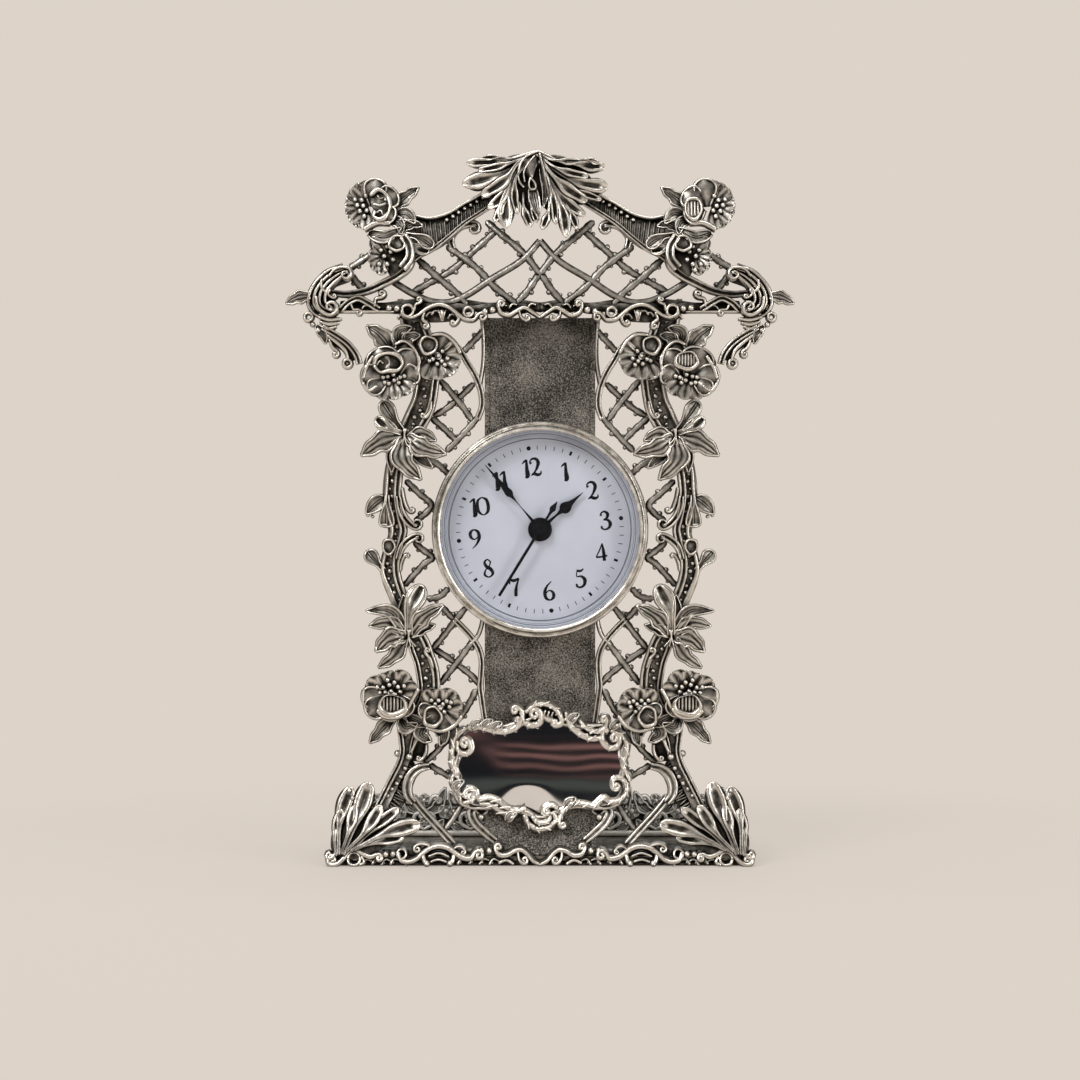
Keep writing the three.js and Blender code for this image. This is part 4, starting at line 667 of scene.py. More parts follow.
for side, sign in SIDES.items():
    post = Casting(on_waist, sign)
    post.strand(POST_BED, lambda s: 3.1 - 1.2 * swell(s, 0.74, 0.82), 1.3, MOULD_BACK, STRIP)
    post.strand(POST_OUTER, 1.05, 3.4, MOULD_BACK, (RIDGE_WIDE, REED))
    post.strand(POST_INNER[:-5], lambda s: 1.4 - 0.7 * swell(s, 0.9, 1), 3.4, MOULD_BACK, REED)
    for i, (x, z) in enumerate(smooth(POST_BED, 2.5)[2:-14]):
        post.bead(x + 0.3 + 0.4 * (-1) ** i, z, MOULD_BACK + 1.6, 0.72 + 0.16 * (i % 3))
        post.bead(x - 1 + 0.3 * (i % 2), z + 1.2, MOULD_BACK + 1.1, 0.55)
    post.scroll([(47, 121.6), (46.2, 117), (44.2, 113.4), (41.6, 111.4)], 1.35, 3.8, end=(1.2, -1),
                back=MOULD_BACK + 0.4, section=REED)
    post.scroll([(45.8, 124.4), (45, 119.8), (43.4, 116.6)], 0.85, 3.2, end=(0.9, -1), back=MOULD_BACK + 0.2)
    post.scroll([(47.2, 100.6), (45.8, 104.6), (43.4, 107.1), (40.6, 108.3)], 1.35, 3.8, end=(0.9, 1),
                back=MOULD_BACK + 0.4, section=REED)
    post.scroll([(46.4, 96.6), (45.9, 99.8), (44.7, 102)], 0.75, 3.2, end=(0.7, 1), back=MOULD_BACK + 0.2)
    leaf(post, [(51.6, 121), (54.4, 119), (57.6, 115.8)], 2.8, MOULD_BACK + 1.4, lift=0.8)
    post.beads([(57.2, 115.2), (55.6, 114.8)], MOULD_BACK + 2, 0.7)
    leaf(post, [(50.7, 122), (50.8, 117), (50.8, 112.4)], 2.8, MOULD_BACK + 1.6,
         lambda s: 0.25 + 0.75 * swell(s, 0.1, 0.95), LEAF, lift=0.8)
    scoop(post, 50.1, 104.8, MOULD_BACK + 3.2, 2.4, 3, 1.6)
    leaf(post, [(51.8, 96.8), (54, 99.4), (57.4, 103.2)], 2.6, MOULD_BACK + 1.2, spoon, LEAF, lift=0.8)
    post.bead(49.4, 109, MOULD_BACK + 2, 0.9)
    post.scroll([(36, 153), (36.4, 150), (37.8, 147.8)], 0.9, 3.8, end=(1, 1), back=MOULD_BACK + 0.4)
    post.scroll([(35.4, 64.6), (36.4, 67.6), (38, 69.8)], 0.9, 3.8, end=(1, 1), back=MOULD_BACK + 0.4)
    post.bead(47.3, 36.2, MOULD_BACK + 2, 1.2)
    post.bead(43.4, 35.2, MOULD_BACK + 2.4, 1.3)
    post.scroll([(37.7, 39.4), (38, 36.2), (39.4, 34.2)], 0.8, 3, end=(0.9, 1), back=MOULD_BACK)
    post.strand([(39.4, 43.4), (41.2, 40), (42.8, 36.6)], 0.8, 3.2, MOULD_BACK + 0.4)
    post.strand([(42.6, 45), (41.4, 39.6), (41.8, 33.4)], 4, 1, MOULD_BACK - 1.4, SLAB)
    post.strand(HATCHED, 2.6, 1.2, 1.2, SLAB)
    for i, (x, z) in enumerate(smooth(HATCHED, 0.95)[1:-1]):
        reach = 1.7 + 0.5 * math.sin(2.3 * i)
        post.strand([(x - reach, z - 1.3 - 0.5 * math.sin(5.1 * i)), (x + reach, z + 0.8)], 0.3, 1.1,
                    MOULD_BACK - 0.5, RIDGE * (1, 1, 0.6), step=1)
    post.beads(FOOT_PEARLS, MOULD_BACK + 1.4, 0.95)
    post.make(f"post_{side}_rails", f"post_{side}")


# A spray of leaves is tied over each post above and below the dial. The leaves are cast together: broad,
# with a raised rim and veins and a blackened hollow between them.
LEAF_BACK = 6.8
TONGUE = evened([
    (-1, 0.1, 0), (-0.86, 0.5, 0), (-0.66, 0.8, 0.4),
    (-0.46, 0.95, 0.72), (-0.24, 0.98, 0.5), (0, 0.94, 0.3),
], (0, -0.15, 0))
HOLLOW = evened([
    (-1, 0.15, 0), (-0.86, 0.75, 0.04), (-0.64, 1, 0.95),
    (-0.42, 0.9, 0.62), (-0.24, 0.58, 0.12), (0, 0.42, 0),
], (0, -0.15, 0))
SPOON = (TONGUE, HOLLOW)


def veined(count, rim=1.0):
    """A section with so many raised veins between two rims."""
    spots = [(-1, 0.2, 0.05), (-0.93, 0.9, rim)]
    for k in range(count):
        middle = -0.8 + 1.6 * (k + 0.5) / count
        spots += [(middle - 0.8 / count, 0.42, 0.04), (middle, 0.86, 0.8)]
    return np.array(spots + [(0.8, 0.42, 0.04), (0.93, 0.95, rim), (1, 0.2, 0.05), (0, -0.15, 0)])


SPRAY_UPPER = [
    ([(45.2, 142.6), (48.8, 147.6), (52.2, 152.8)], 2.9, 1, spoon, LEAF),
    ([(45.4, 142.2), (50.4, 144.2), (54.1, 147.2)], 2.3, 1.6, spoon, SPOON),
    ([(45.6, 141.4), (52.4, 139.4), (59, 135)], 4.2, 1.4, lobed, veined(3)),
    ([(44.9, 141), (48.8, 135.4), (49, 129.4)], 2.2, 0.6, lance, LEAF),
    ([(43.8, 140.6), (38.8, 142.2), (34.4, 139.8)], 2.6, 0.8, lobed, veined(2)),
    ([(43.6, 139.8), (39.6, 134.4), (35.6, 130.8)], 2.4, 0.3, lance, LEAF),
    ([(44.6, 141), (45.6, 134.6), (39.4, 127)], 4.2, 2, lobed, veined(3)),
    ([(44.2, 141.4), (39.4, 137.8), (31.2, 135.4)], 3.7, 1.8, lobed, veined(3)),
]
SPRAY_LOWER = [
    ([(43.6, 76), (45.2, 83), (45, 88.8)], 2.1, 0.6, lance, LEAF),
    ([(43.4, 75.4), (43, 83), (39.1, 91.8)], 3.6, 1.8, spoon, SPOON),
    ([(43, 75.6), (38.6, 81.4), (32, 85.4)], 3.4, 1.8, lobed, veined(3)),
    ([(43, 75.4), (39.4, 77.4), (34.6, 79)], 2.2, 0.8, lobed, LEAF),
    ([(44.4, 76), (49.4, 83.4), (57.4, 83.6)], 2.4, 1.6, lance, LEAF),
    ([(44.4, 75.6), (50, 79.6), (56.4, 78.6)], 3, 1, lobed, veined(2)),
    ([(44, 75), (49, 74.8), (54.2, 70.2)], 3.9, 1.6, lobed, veined(3)),
    ([(44.4, 74.4), (48, 68.8), (53.4, 64.8)], 2.9, 1.2, lobed, veined(2)),
]
for side, sign in SIDES.items():
    for end, leaves, root in (("upper", SPRAY_UPPER, (44.8, 141.6)), ("lower", SPRAY_LOWER, (43.4, 75.2))):
        spray = Casting(on_waist, sign)
        for points, half, lift, outline, section in leaves:
            leaf(spray, points, half, LEAF_BACK - 0.4, outline, section, 1.8, lift, 0.5)
        for reach in (-2.4, -0.8, 0.8):
            tie = [(root[0] + 0.3 * reach, root[1] + 2.2), root, (root[0] + reach, root[1] - 3.4)]
            spray.strand(tie, 0.4, 1.6, LEAF_BACK + 1)
        spray.make(f"leaf_spray_{end}_{side}_leaves", f"leaf_spray_{end}_{side}")


# The poppies at shoulder and hip are open cups of ribbed petals round a knob of pearls. One petal of each
# folds over it as a lip with a hollow. They are cast on short stems with a pair of leaves.
SMOOTH = evened([
    (-1, 0.1, 0.05), (-0.92, 0.7, 0.6), (-0.78, 0.72, 0.08), (-0.35, 1, 0.2), (0, 1.05, 0.5),
], (0, -0.15, 0))
HEART = LEAF_BACK + 1.2


def petal(casting, root, tip, half, back, ribs=2, lift=0.6, raised=1.4):
    """One petal from the heart of a flower to its rim, ribbed or smooth, darkened near the heart as painted
    shade.
    """
    middle = ((root[0] + tip[0]) / 2, (root[1] + tip[1]) / 2)
    section = veined(ribs, 0.6) if ribs else SMOOTH
    leaf(casting, [root, middle, tip], half, back, shell, section, 1.5, lift, raised, 0.5 if ribs else 1.0,
         0.6 if ribs else 0.3, not ribs)


def lip(casting, rim, bed, back, half=0.85):
    """A folded petal: a bright uneven rim round a blackened hollow."""
    leaf(casting, bed, half * 3.6, back, section=SLAB, thick=1, lift=0.2, rim=0)
    casting.strand(rim, lambda s: half * (1 + 0.22 * np.sin(19 * s)), 2.2, back + 0.2)


def bloom(casting, petals):
    """The petals of a flower: (root, tip, half width, height over the heart), and the ribs and the lift of
    those that aren't ribbed as most are."""
    for root, tip, half, over, *kind in petals:
        petal(casting, root, tip, half, HEART + over, *kind)


SHOULDER_LARGE = [
    ((46.6, 161.5), (44, 172.8), 3.8, -2, 0, 1.6),
    ((49.4, 159.5), (53.4, 170.2), 6.4, -1, 0, 1.8),
    ((46.6, 160.5), (42, 169.6), 4.8, -0.8, 0, 1.6),
    ((46, 160), (40.2, 162.6), 4, -0.4, 0, 1.2),
    ((50, 161), (58.9, 161), 4.6, -0.2, 0, 1.4),
    ((50.6, 160), (56.4, 156), 3.3, 0.4, 0, 1),
    ((50.2, 159.8), (52.4, 153.2), 3.1, 0.6),
    ((48.6, 159.8), (47.4, 153.2), 3.1, 0.8),
    ((46.8, 160), (42, 156), 3.5, 0.5),
]
SHOULDER_SMALL = [
    ((34.6, 167), (38.4, 160.4), 3.4, -0.8),
    ((33.6, 166.6), (33.6, 159.8), 3.3, -0.6),
    ((32.8, 167), (28.2, 161.8), 3.5, -0.7),
    ((32.6, 167.6), (25.8, 166.4), 3.3, -0.6),
    ((33, 168.6), (27.4, 171.6), 3.3, -0.8),
    ((33.6, 169), (31.4, 174.8), 3.6, -1, 0),
]
HIP_LARGE = [
    ((48.6, 57), (43.6, 63.4), 3.7, -0.6),
    ((49.2, 57), (48.4, 64), 3.4, -0.8),
    ((50, 57), (53.2, 62.8), 3.3, -0.6),
    ((50.6, 57), (57.4, 60.2), 3.4, -0.4),
    ((50.4, 56.4), (58.6, 54.6), 4, 0, 0, 1.2),
    ((50, 55.6), (56.6, 49.4), 4.4, 0.2, 0, 1.4),
    ((48.6, 55.6), (50.4, 47.6), 4.8, -0.6, 0, 1.4),
    ((47.4, 55.8), (43.2, 49.4), 4, -0.6, 0, 1.2),
    ((47.4, 56.6), (40, 57.6), 3.5, -0.2),
]
HIP_SMALL = [
    ((34, 52), (38, 57.4), 3.2, -0.8),
    ((33, 52.4), (33.2, 58), 3.2, -0.7),
    ((32, 52), (28.2, 57.4), 3.6, -0.8),
    ((32, 51.6), (25.6, 52.8), 3.6, -0.6),
    ((32.4, 51), (26.8, 47.2), 3.6, -0.6),
    ((33, 50.4), (31.6, 44), 3.6, -0.8, 0),
    ((34.6, 51.2), (40, 50.4), 3, -0.6, 0),
]
SHOULDER_LIP = [
    (54.6, 164.7), (54, 166.9), (50.6, 168.4), (46.2, 167.2), (45.3, 165),
    (46.6, 163), (50, 162.7), (52.4, 162.2), (54.6, 164.3),
]
for side, sign in SIDES.items():
    poppies = Casting(on_waist, sign)
    bloom(poppies, SHOULDER_LARGE)
    poppies.strand([(54.9, 167.6), (57.4, 163.4), (58.3, 160.2)], 0.9, 2, HEART + 1.4)
    poppies.strand([(58.4, 158.8), (56.4, 156.2), (53.6, 157.8)], 0.7, 1.8, HEART + 2)
    poppies.strand([(47.9, 171.4), (45.3, 172.6), (41.2, 169.6), (40, 165), (40.4, 161.3)], 0.7, 1.8,
                   HEART + 1)
    if side == "left":
        lip(poppies, SHOULDER_LIP, [(55, 165.4), (50, 165.3), (45, 165.2)], HEART + 2.2)
        poppies.strand([(50.8, 167.6), (49.6, 165.6), (50.6, 163)],
                       lambda s: 1 + 0.5 * np.cos(2 * math.pi * s), 1.5, HEART + 2.2, RIDGE * (1, 1, 0.5))
        poppies.strand([(53.8, 164.4), (52.6, 166), (51.6, 165)], 0.4, 1.2, HEART + 2.8)
    else:
        scoop(poppies, 48.3, 165.8, HEART + 1.8, 4.5, 3.5, 2.6, (0, 0.5), ribs=6)
    poppies.beads([(50.2, 160.9), (48.3, 161.5), (46.1, 160.6), (49.8, 158.6), (48, 159.6), (51.7, 160.6),
                   (46.6, 158.8), (44.7, 161), (51.2, 158.9)], HEART + 2.6, 0.92)
    bloom(poppies, SHOULDER_SMALL)
    poppies.strand([(35.6, 174.6), (32, 174.9), (28.6, 172.6), (26.2, 168.6)], 0.9, 2.2, HEART + 0.4)
    scoop(poppies, 36.9, 171.1, HEART + 0.8, 3.4, 3.5, 2.6, (-0.2, 0.2))
    poppies.beads([(33.5, 167.8), (35.3, 166.7), (32.2, 169.3), (30.6, 166.9), (32.4, 166), (33.9, 165.1),
                   (36.5, 166.2), (31.4, 164.8)], HEART + 1.6, 0.9)
    leaf(poppies, [(49.4, 170), (52.6, 174.4), (57.2, 177.8)], 3.6, LEAF_BACK - 1, lobed, lift=1)
    leaf(poppies, [(46.4, 172), (46.6, 175.6), (42.4, 177.4)], 2.4, LEAF_BACK - 1.4, lift=1)
    leaf(poppies, [(45.6, 171.4), (43, 174), (39.6, 174.8)], 2.4, LEAF_BACK - 1, lobed, lift=1)
    poppies.make(f"shoulder_flowers_{side}_poppies", f"shoulder_flowers_{side}")

    poppies = Casting(on_waist, sign)
    bloom(poppies, HIP_LARGE)
    poppies.strand([(40, 58), (41.8, 54.8), (43.6, 51.2)], 0.9, 2.2, HEART + 1.2)
    poppies.strand([(58.2, 57.6), (58.1, 53.4), (56.2, 50.2), (52.4, 48.2)], 0.75, 1.8, HEART + 1.4)
    scoop(poppies, 48.6, 52.2, HEART + 1.6, 5.3, 4, 3.2, (0, 0.9), ribs=6)
    poppies.strand([(53.6, 51), (51.4, 49), (48.2, 48.5), (45, 49.6), (43.6, 51.6)], 1, 2.4, HEART + 2.2)
    poppies.beads([(49.7, 59.2), (51.7, 58.3), (52.8, 56.6), (51, 56.7), (49.1, 57.1), (48, 60), (46.8, 58.5),
                   (46.1, 56.9), (50.3, 60.8), (44.8, 58.8), (53.6, 58.4)], HEART + 2.2, 0.92)
    bloom(poppies, HIP_SMALL)
    poppies.strand([(37.6, 45.2), (32.6, 44), (28.2, 46), (25.8, 49)], 0.8, 2, HEART + 0.8)
    scoop(poppies, 35.5, 48.6, HEART + 0.8, 3.5, 4, 2.6, (-0.1, 0.3))
    poppies.beads([(33.5, 54), (34.6, 52.8), (32, 52.8), (32.9, 51.3), (29.9, 51.9), (31.6, 50.3),
                   (30.8, 53.8), (35.8, 54), (29.4, 53.4)], HEART + 1.6, 0.9)
    leaf(poppies, [(48.6, 48.4), (52, 44.6), (56.4, 39.8)], 2.8, LEAF_BACK - 1, lobed, lift=1)
    leaf(poppies, [(46, 48), (44.6, 45), (40.4, 46.4)], 2.3, LEAF_BACK - 0.4, lift=1)
    leaf(poppies, [(37.6, 46), (39.4, 42.8), (36, 40.4)], 2.8, LEAF_BACK - 1, lobed, lift=0.8)
    leaf(poppies, [(35, 45.4), (31.8, 42.6), (33, 39)], 2.5, LEAF_BACK - 1, lobed, lift=0.8)
    leaf(poppies, [(44, 48.6), (40.6, 47), (36.8, 45.4)], 2, LEAF_BACK - 0.6, lift=0.8)
    poppies.make(f"hip_flowers_{side}_poppies", f"hip_flowers_{side}")


# A fan of acanthus lobes rises from each front corner of the base. Every lobe is a spoon with a rolled rim
# that lies over its neighbour, cast on and rubbed bright along its rim.
CORNER_LOBES = [
    ([(66.8, 3.6), (67.4, 11), (65.3, 18.4)], 1.9, 0.2),
    ([(66, 4), (65.8, 15), (62.4, 25.6)], 3, 0.4),
    ([(64.6, 4), (60.4, 15), (56.4, 27)], 3.6, 0.6),
    ([(62, 5), (55, 12), (46.6, 18.6)], 2.3, 0.4),
    ([(61, 5.6), (50, 11), (39.4, 13.6)], 3.1, 0.8),
    ([(61, 6), (53, 8), (44.6, 9.6)], 2, 0.2),
    ([(65, 4.6), (62.6, 12), (60.9, 19.6)], 2.2, 1.4),
    ([(63.6, 5), (57.8, 11), (52.2, 19.6)], 2.5, 1.4),
]
for side, sign in SIDES.items():
    fan = Casting(on_waist, sign)
    leaf(fan, [(66, 3), (61, 12), (57, 21)], 6, MOULD_BACK + 1.4, section=SLAB, thick=1.2, lift=0.4, rim=0)
    leaf(fan, [(65, 4), (54, 9), (43, 12)], 4, MOULD_BACK + 1.4, section=SLAB, thick=1.2, lift=0.4, rim=0)
    for points, half, lift in CORNER_LOBES:
        leaf(fan, points, half, LEAF_BACK - 1.6, spoon, SPOON, 1.9, lift, 0.6, hemmed=False)
    fan.bead(62.9, 24.4, LEAF_BACK + 0.6, 0.9)
    fan.bead(61.8, 22, LEAF_BACK + 0.6, 0.9)
    fan.scroll([(63, 8), (66.6, 5), (68.2, 3)], 1, 3, end=(1.2, 1), back=MOULD_BACK + 0.6)
    fan.make(f"corner_acanthus_{side}_lobes", f"corner_acanthus_{side}")


# The pediment leans out over the posts and back to its crest. Its trellis is of the same knotty twigs, in two
# layers, over a dark ledge behind the rail, whose darkness is painted shade.
RAIL_HEIGHT = 182
OVERHANG = 6.974
OVERHANG_RISE = 38


def on_pediment(x, z, forward):
    """The face of the pediment, which leans out at the rail and is upright at the crest."""
    share = np.clip((z - RAIL_HEIGHT) / OVERHANG_RISE, 0, 1)
    y = np.maximum(TRELLIS_BACK - forward - OVERHANG * (1 - share**2), FRONT_MOST)
    return np.stack([x, y, z], -1) * MM


PEDIMENT_BARS = [
    ([(18, 213), (13.5, 209), (5, 201.5), (0, 195)], 1),
    ([(31, 204.5), (20, 196), (16, 191.5), (8, 185)], 1),
    ([(41, 200.4), (34, 194), (27, 188), (24, 184.6)], 1),
    ([(42.6, 188.6), (36, 192.4), (29, 196.5), (24, 201), (14.4, 210)], 0),
    ([(63, 197), (56, 201.6)], 0),
    ([(62.6, 194.6), (57.6, 188.8)], 0),
    ([(0.4, 195), (4, 189.6), (8, 185)], 0),
]
U_TWIG = [(48.6, 192.4), (42, 188.4), (36, 185.8), (30, 185.5), (25, 187.5), (16.5, 193), (5, 200.5),
          (0, 206.2)]
halves = []
for sign in (-1, 1):
    trellis = Casting(on_pediment, sign)
    for points, layer in PEDIMENT_BARS:
        twig(trellis, points, layer, 1.25)
    trellis.strand(U_TWIG, 1.2, 1.8, 0.8, TWIG)
    trellis.scroll([(28.8, 203.4), (29.7, 206.8), (28.2, 209.9), (24.8, 212), (21.8, 211.9)], 1.6, 2.4,
                   end=(1.3, 1), back=0.4, section=REED)
    # The ledge behind the rail: a dark strip that is painted shade under the trellis.
    trellis.strand([(66, 184.4), (0, 184.4)], lambda s: 1.6 + 0.5 * np.sin(23 * s), 1, 0.2, SLAB, step=1)
    halves.append(trellis)
joined(halves).make("pediment_trellis_twigs", "pediment_trellis")


# The rail under the pediment repeats the scrolls of the base: C-scrolls, bead pairs and little arches with a
# drop. It is cast with the pediment, on a blackened strip.
RAIL_CURLS = [
    (57.4, 183.4), (36.2, 181.2), (29, 180.6), (34.4, 181.8),
    (12.2, 183.6), (8.8, 183.9), (2.6, 184), (45.6, 180.4),
]
halves = []
for sign in (-1, 1):
    rail = Casting(on_pediment, sign)
    rail.strand([(66, 183.8), (49, 183.8)], 1.6, 1.6, 1.1, SLAB, step=2)
    rail.strand([(50, 183.4), (0, 183.4)], lambda s: 1.4 + 0.4 * np.sin(31 * s), 1.5, 1.1, SLAB, step=1)
    rail.strand([(46.2, 181.4), (26, 181.2)], lambda s: 1 + 1.4 * np.sin(math.pi * s) ** 0.5, 0.8, 0.4, SLAB,
                step=1)
    rail.strand([(66.4, 182.2), (48, 182.2)], 0.6, 2.4, step=2)
    rail.strand([(65.6, 182.8), (62.8, 185.4), (59.8, 186.6), (56.8, 185.2), (53, 182.8)], 1.2, 3.2,
                section=REED)
    rail.scroll([(62.2, 184.6), (61.4, 182.9), (59.6, 182.8)], 0.7, 2.8, end=(1, 1))
    rail.scroll([(54.4, 183.8), (54, 186.4), (51.8, 187)], 0.85, 3, end=(1.2, -1))
    rail.beads([(49.6, 183.3), (47.1, 183.2)], 5.2, 1.2)
    rail.ring(43.6, 182.4, 1.9, 0.8, 3.2)
    rail.scroll([(45.4, 183.6), (44.8, 181.2), (42.6, 180.2), (40, 181.1), (37.8, 182.8), (35.4, 184.1),
                 (32.8, 184.4), (30, 183.5), (27.4, 181.6), (24.8, 179.7), (21.8, 179.5), (20, 181.4)], 0.92,
                3.5, end=(1.5, 1))
    rail.ring(23.6, 182, 1.5, 0.75, 3.2)
    rail.scroll([(41.2, 182.4), (41, 184.4), (39.4, 185.2)], 0.75, 3.2, end=(1, -1))
    rail.scroll([(38, 182), (38.6, 179.6), (37, 178.2)], 0.85, 3, end=(1, 1))
    rail.scroll([(28.2, 182), (26.8, 179.9), (27.8, 178.2)], 0.85, 3, end=(0.9, 1))
    rail.beads([(31.5, 182.2), (33, 182.2)], 3.6, 0.9)
    leaf(rail, [(32.2, 183), (32.2, 181.4), (32.2, 179.2)], 1.5, 3, lambda s: 1 - 0.85 * s, RIDGE, lift=0.8)
    for x, z in RAIL_CURLS:
        rail.strand([(x + 1.4, z - 0.6), (x + 0.3, z + 0.8), (x - 1.2, z + 0.5)], 0.5, 2.4, 2)
    rail.beads([(18.1, 182.1), (15.6, 182.6)], 5.2, 1.2)
    rail.scroll([(13.8, 184.2), (12.9, 181.9), (10.4, 180.9), (7.8, 182.3), (5.2, 183.4), (2.6, 182),
                 (0, 180.2)], 1, 3.4, start=(1.2, 1))
    rail.scroll([(6.8, 182.4), (6.2, 180.4), (4.8, 179.4)], 0.75, 3, end=(1, -1))
    halves.append(rail)
joined(halves).make("pediment_rail_scrolls", "pediment_rail")


# Two beaded arches climb from the flowers to the crest. Each is cast as a broad blackened bed with a bright
# upper edge, cross ribs and a row of pearls.
ARCH_TOP = [
    (44, 214.4), (41.7, 214.4), (37.4, 213.6), (31.3, 214.9),
    (25.2, 218.6), (20.3, 221.4), (13, 226.6), (5, 231.4),
]
ARCH_FOOT = [
    (42, 199), (40.4, 200.4), (35.6, 203), (31.3, 206.4),
    (25.2, 211.8), (19.7, 215.6), (12, 220.6), (3, 226),
]
ARCH_BED = [(np.array(up) + low) / 2 for up, low in zip(ARCH_TOP, ARCH_FOOT)]
ARCH_RIBS = 21
ARCH_PEARLS = 10
arch_edges = [smooth(line, 0.1) for line in (ARCH_TOP, ARCH_FOOT)]


def on_arch(share):
    """The spots on an arch's upper and lower edge, at a share of the way to the crest."""
    return [edge[int(share * (len(edge) - 1))] for edge in arch_edges]


for side, sign in SIDES.items():
    arch = Casting(on_pediment, sign)
    arch.strand(ARCH_BED, lambda s: 6.6 - 4.2 * swell(s, 0, 0.55), 1.4, 1.6, STRIP)
    arch.strand(ARCH_TOP, 0.7, 2.8, MOULD_BACK)
    arch.strand(ARCH_FOOT, 0.8, 2.6, MOULD_BACK, REED)
    for share in np.linspace(0.06, 0.8, ARCH_RIBS):
        up, low = on_arch(share)
        far = 0.92 - 0.22 * swell(share, 0.15, 0.4) + 0.08 * math.sin(47 * share)
        arch.strand([low, low * (1 - far) + up * far], 0.38, 1.2, MOULD_BACK - 0.2, TWIG * (1, 1, 0.6))
    for share in np.linspace(0.3, 0.78, ARCH_PEARLS):
        up, low = on_arch(share)
        arch.bead(*(up * 0.76 + low * 0.24), MOULD_BACK + 1.2, 0.8)
    arch.make(f"pediment_arch_{side}_band", f"pediment_arch_{side}")


# Each end of the pediment winds up in a ribbed volute between two spirals, with a leaf tip outside it and a
# drop of blossom and curls below. It is cast in one with the silvered front.
for side, sign in SIDES.items():
    volute = Casting(on_pediment, sign)
    volute.strand([(43.4, 204.4), (42.6, 200.4), (43.4, 197.2), (46.4, 194.4), (51, 191.8), (57, 189),
                   (63, 187.9), (68.4, 188.2)], lambda s: 1.8 - 0.7 * s, 3.6, MOULD_BACK + 0.4,
                  (REED, REED * (1, 1, 0.45)))
    volute.strand([(64, 195.4), (70, 192.6), (72.4, 187), (70.6, 182.6)], 3.4, 1.4, MOULD_BACK - 0.6, SLAB)
    for k in range(4):
        volute.strand([(63.4, 197.2 - 0.7 * k), (69 - 0.7 * k, 196.2 - 1.3 * k),
                       (73.4 - 1.4 * k, 192.6 - 0.9 * k), (75.8 - 1.75 * k, 188.4 - 0.4 * k),
                       (76.2 - 2 * k, 184.4 + 0.1 * k), (74 - 1.7 * k, 181.2 + 0.9 * k),
                       (69.6 - 0.5 * k, 180.4 + 0.9 * k)], lambda s: 0.45 + 0.5 * np.sin(math.pi * s),
                      2.8 + 0.7 * k, MOULD_BACK - 0.3)
    volute.scroll([(69.4, 193.6), (67.4, 196), (64.4, 196.7)], 0.85, 4.4, end=(2.3, 1), back=MOULD_BACK + 0.6)
    volute.scroll([(73.6, 187), (72.8, 183.4), (70.6, 181.4)], 1, 4.6, end=(2.7, -1), back=MOULD_BACK + 0.6)
    volute.scroll([(71.8, 192.6), (71.8, 190.2), (70.4, 188.6)], 0.85, 4, end=(0.9, -1),
                  back=MOULD_BACK + 0.4)
    volute.scroll([(69.4, 190), (69.6, 187.8), (68.2, 186.6)], 0.7, 4, end=(0.8, -1), back=MOULD_BACK + 0.4)
    leaf(volute, [(75.6, 187.4), (79.6, 186.8), (83.5, 184.9)], 2.5, MOULD_BACK + 0.6, lobed, veined(3),
         lift=0.6)
    volute.ring(76.2, 180.4, 1.3, 0.7, 3)
    volute.beads([(74.8, 177.9), (73, 176)], 4.4, 1.05)
    for k in range(3):
        volute.strand([(73 - 0.5 * k, 180.4 - 1.5 * k), (69.4, 179.5 - 1.5 * k),
                       (65.2 + 0.9 * k, 179.7 - 1.2 * k)], lambda s: 0.5 + 0.6 * np.sin(math.pi * s),
                      3 - 0.5 * k, MOULD_BACK + 0.6)
    leaf(volute, [(73.6, 177.6), (71.4, 174.6), (70.6, 171.6)], 1.8, MOULD_BACK + 0.6, lobed, lift=0.6)
    volute.strand([(72, 176), (67, 172.8), (63, 169.6), (61, 166.4)], lambda s: 2.3 - 0.8 * s, 1.4,
                  MOULD_BACK - 0.2, SLAB)
    volute.strand([(71.6, 177), (67, 174.4), (62.8, 171.2), (60.2, 167.4), (59.5, 165)], 1.15, 3.2,
                  MOULD_BACK, REED)
    volute.scroll([(70, 174.4), (66.4, 171.6), (64, 169.2), (63, 166.4)], 1, 3.2, back=MOULD_BACK)
    volute.scroll([(69.4, 173), (68.2, 170.4), (66.6, 169)], 0.8, 2.8, end=(1.1, 1))
    volute.ring(63.4, 165.1, 1.3, 0.75, 3)
    volute.bead(63.4, 165.1, 4.2, 0.8)
    volute.make(f"pediment_roll_{side}_volute", f"pediment_roll_{side}")


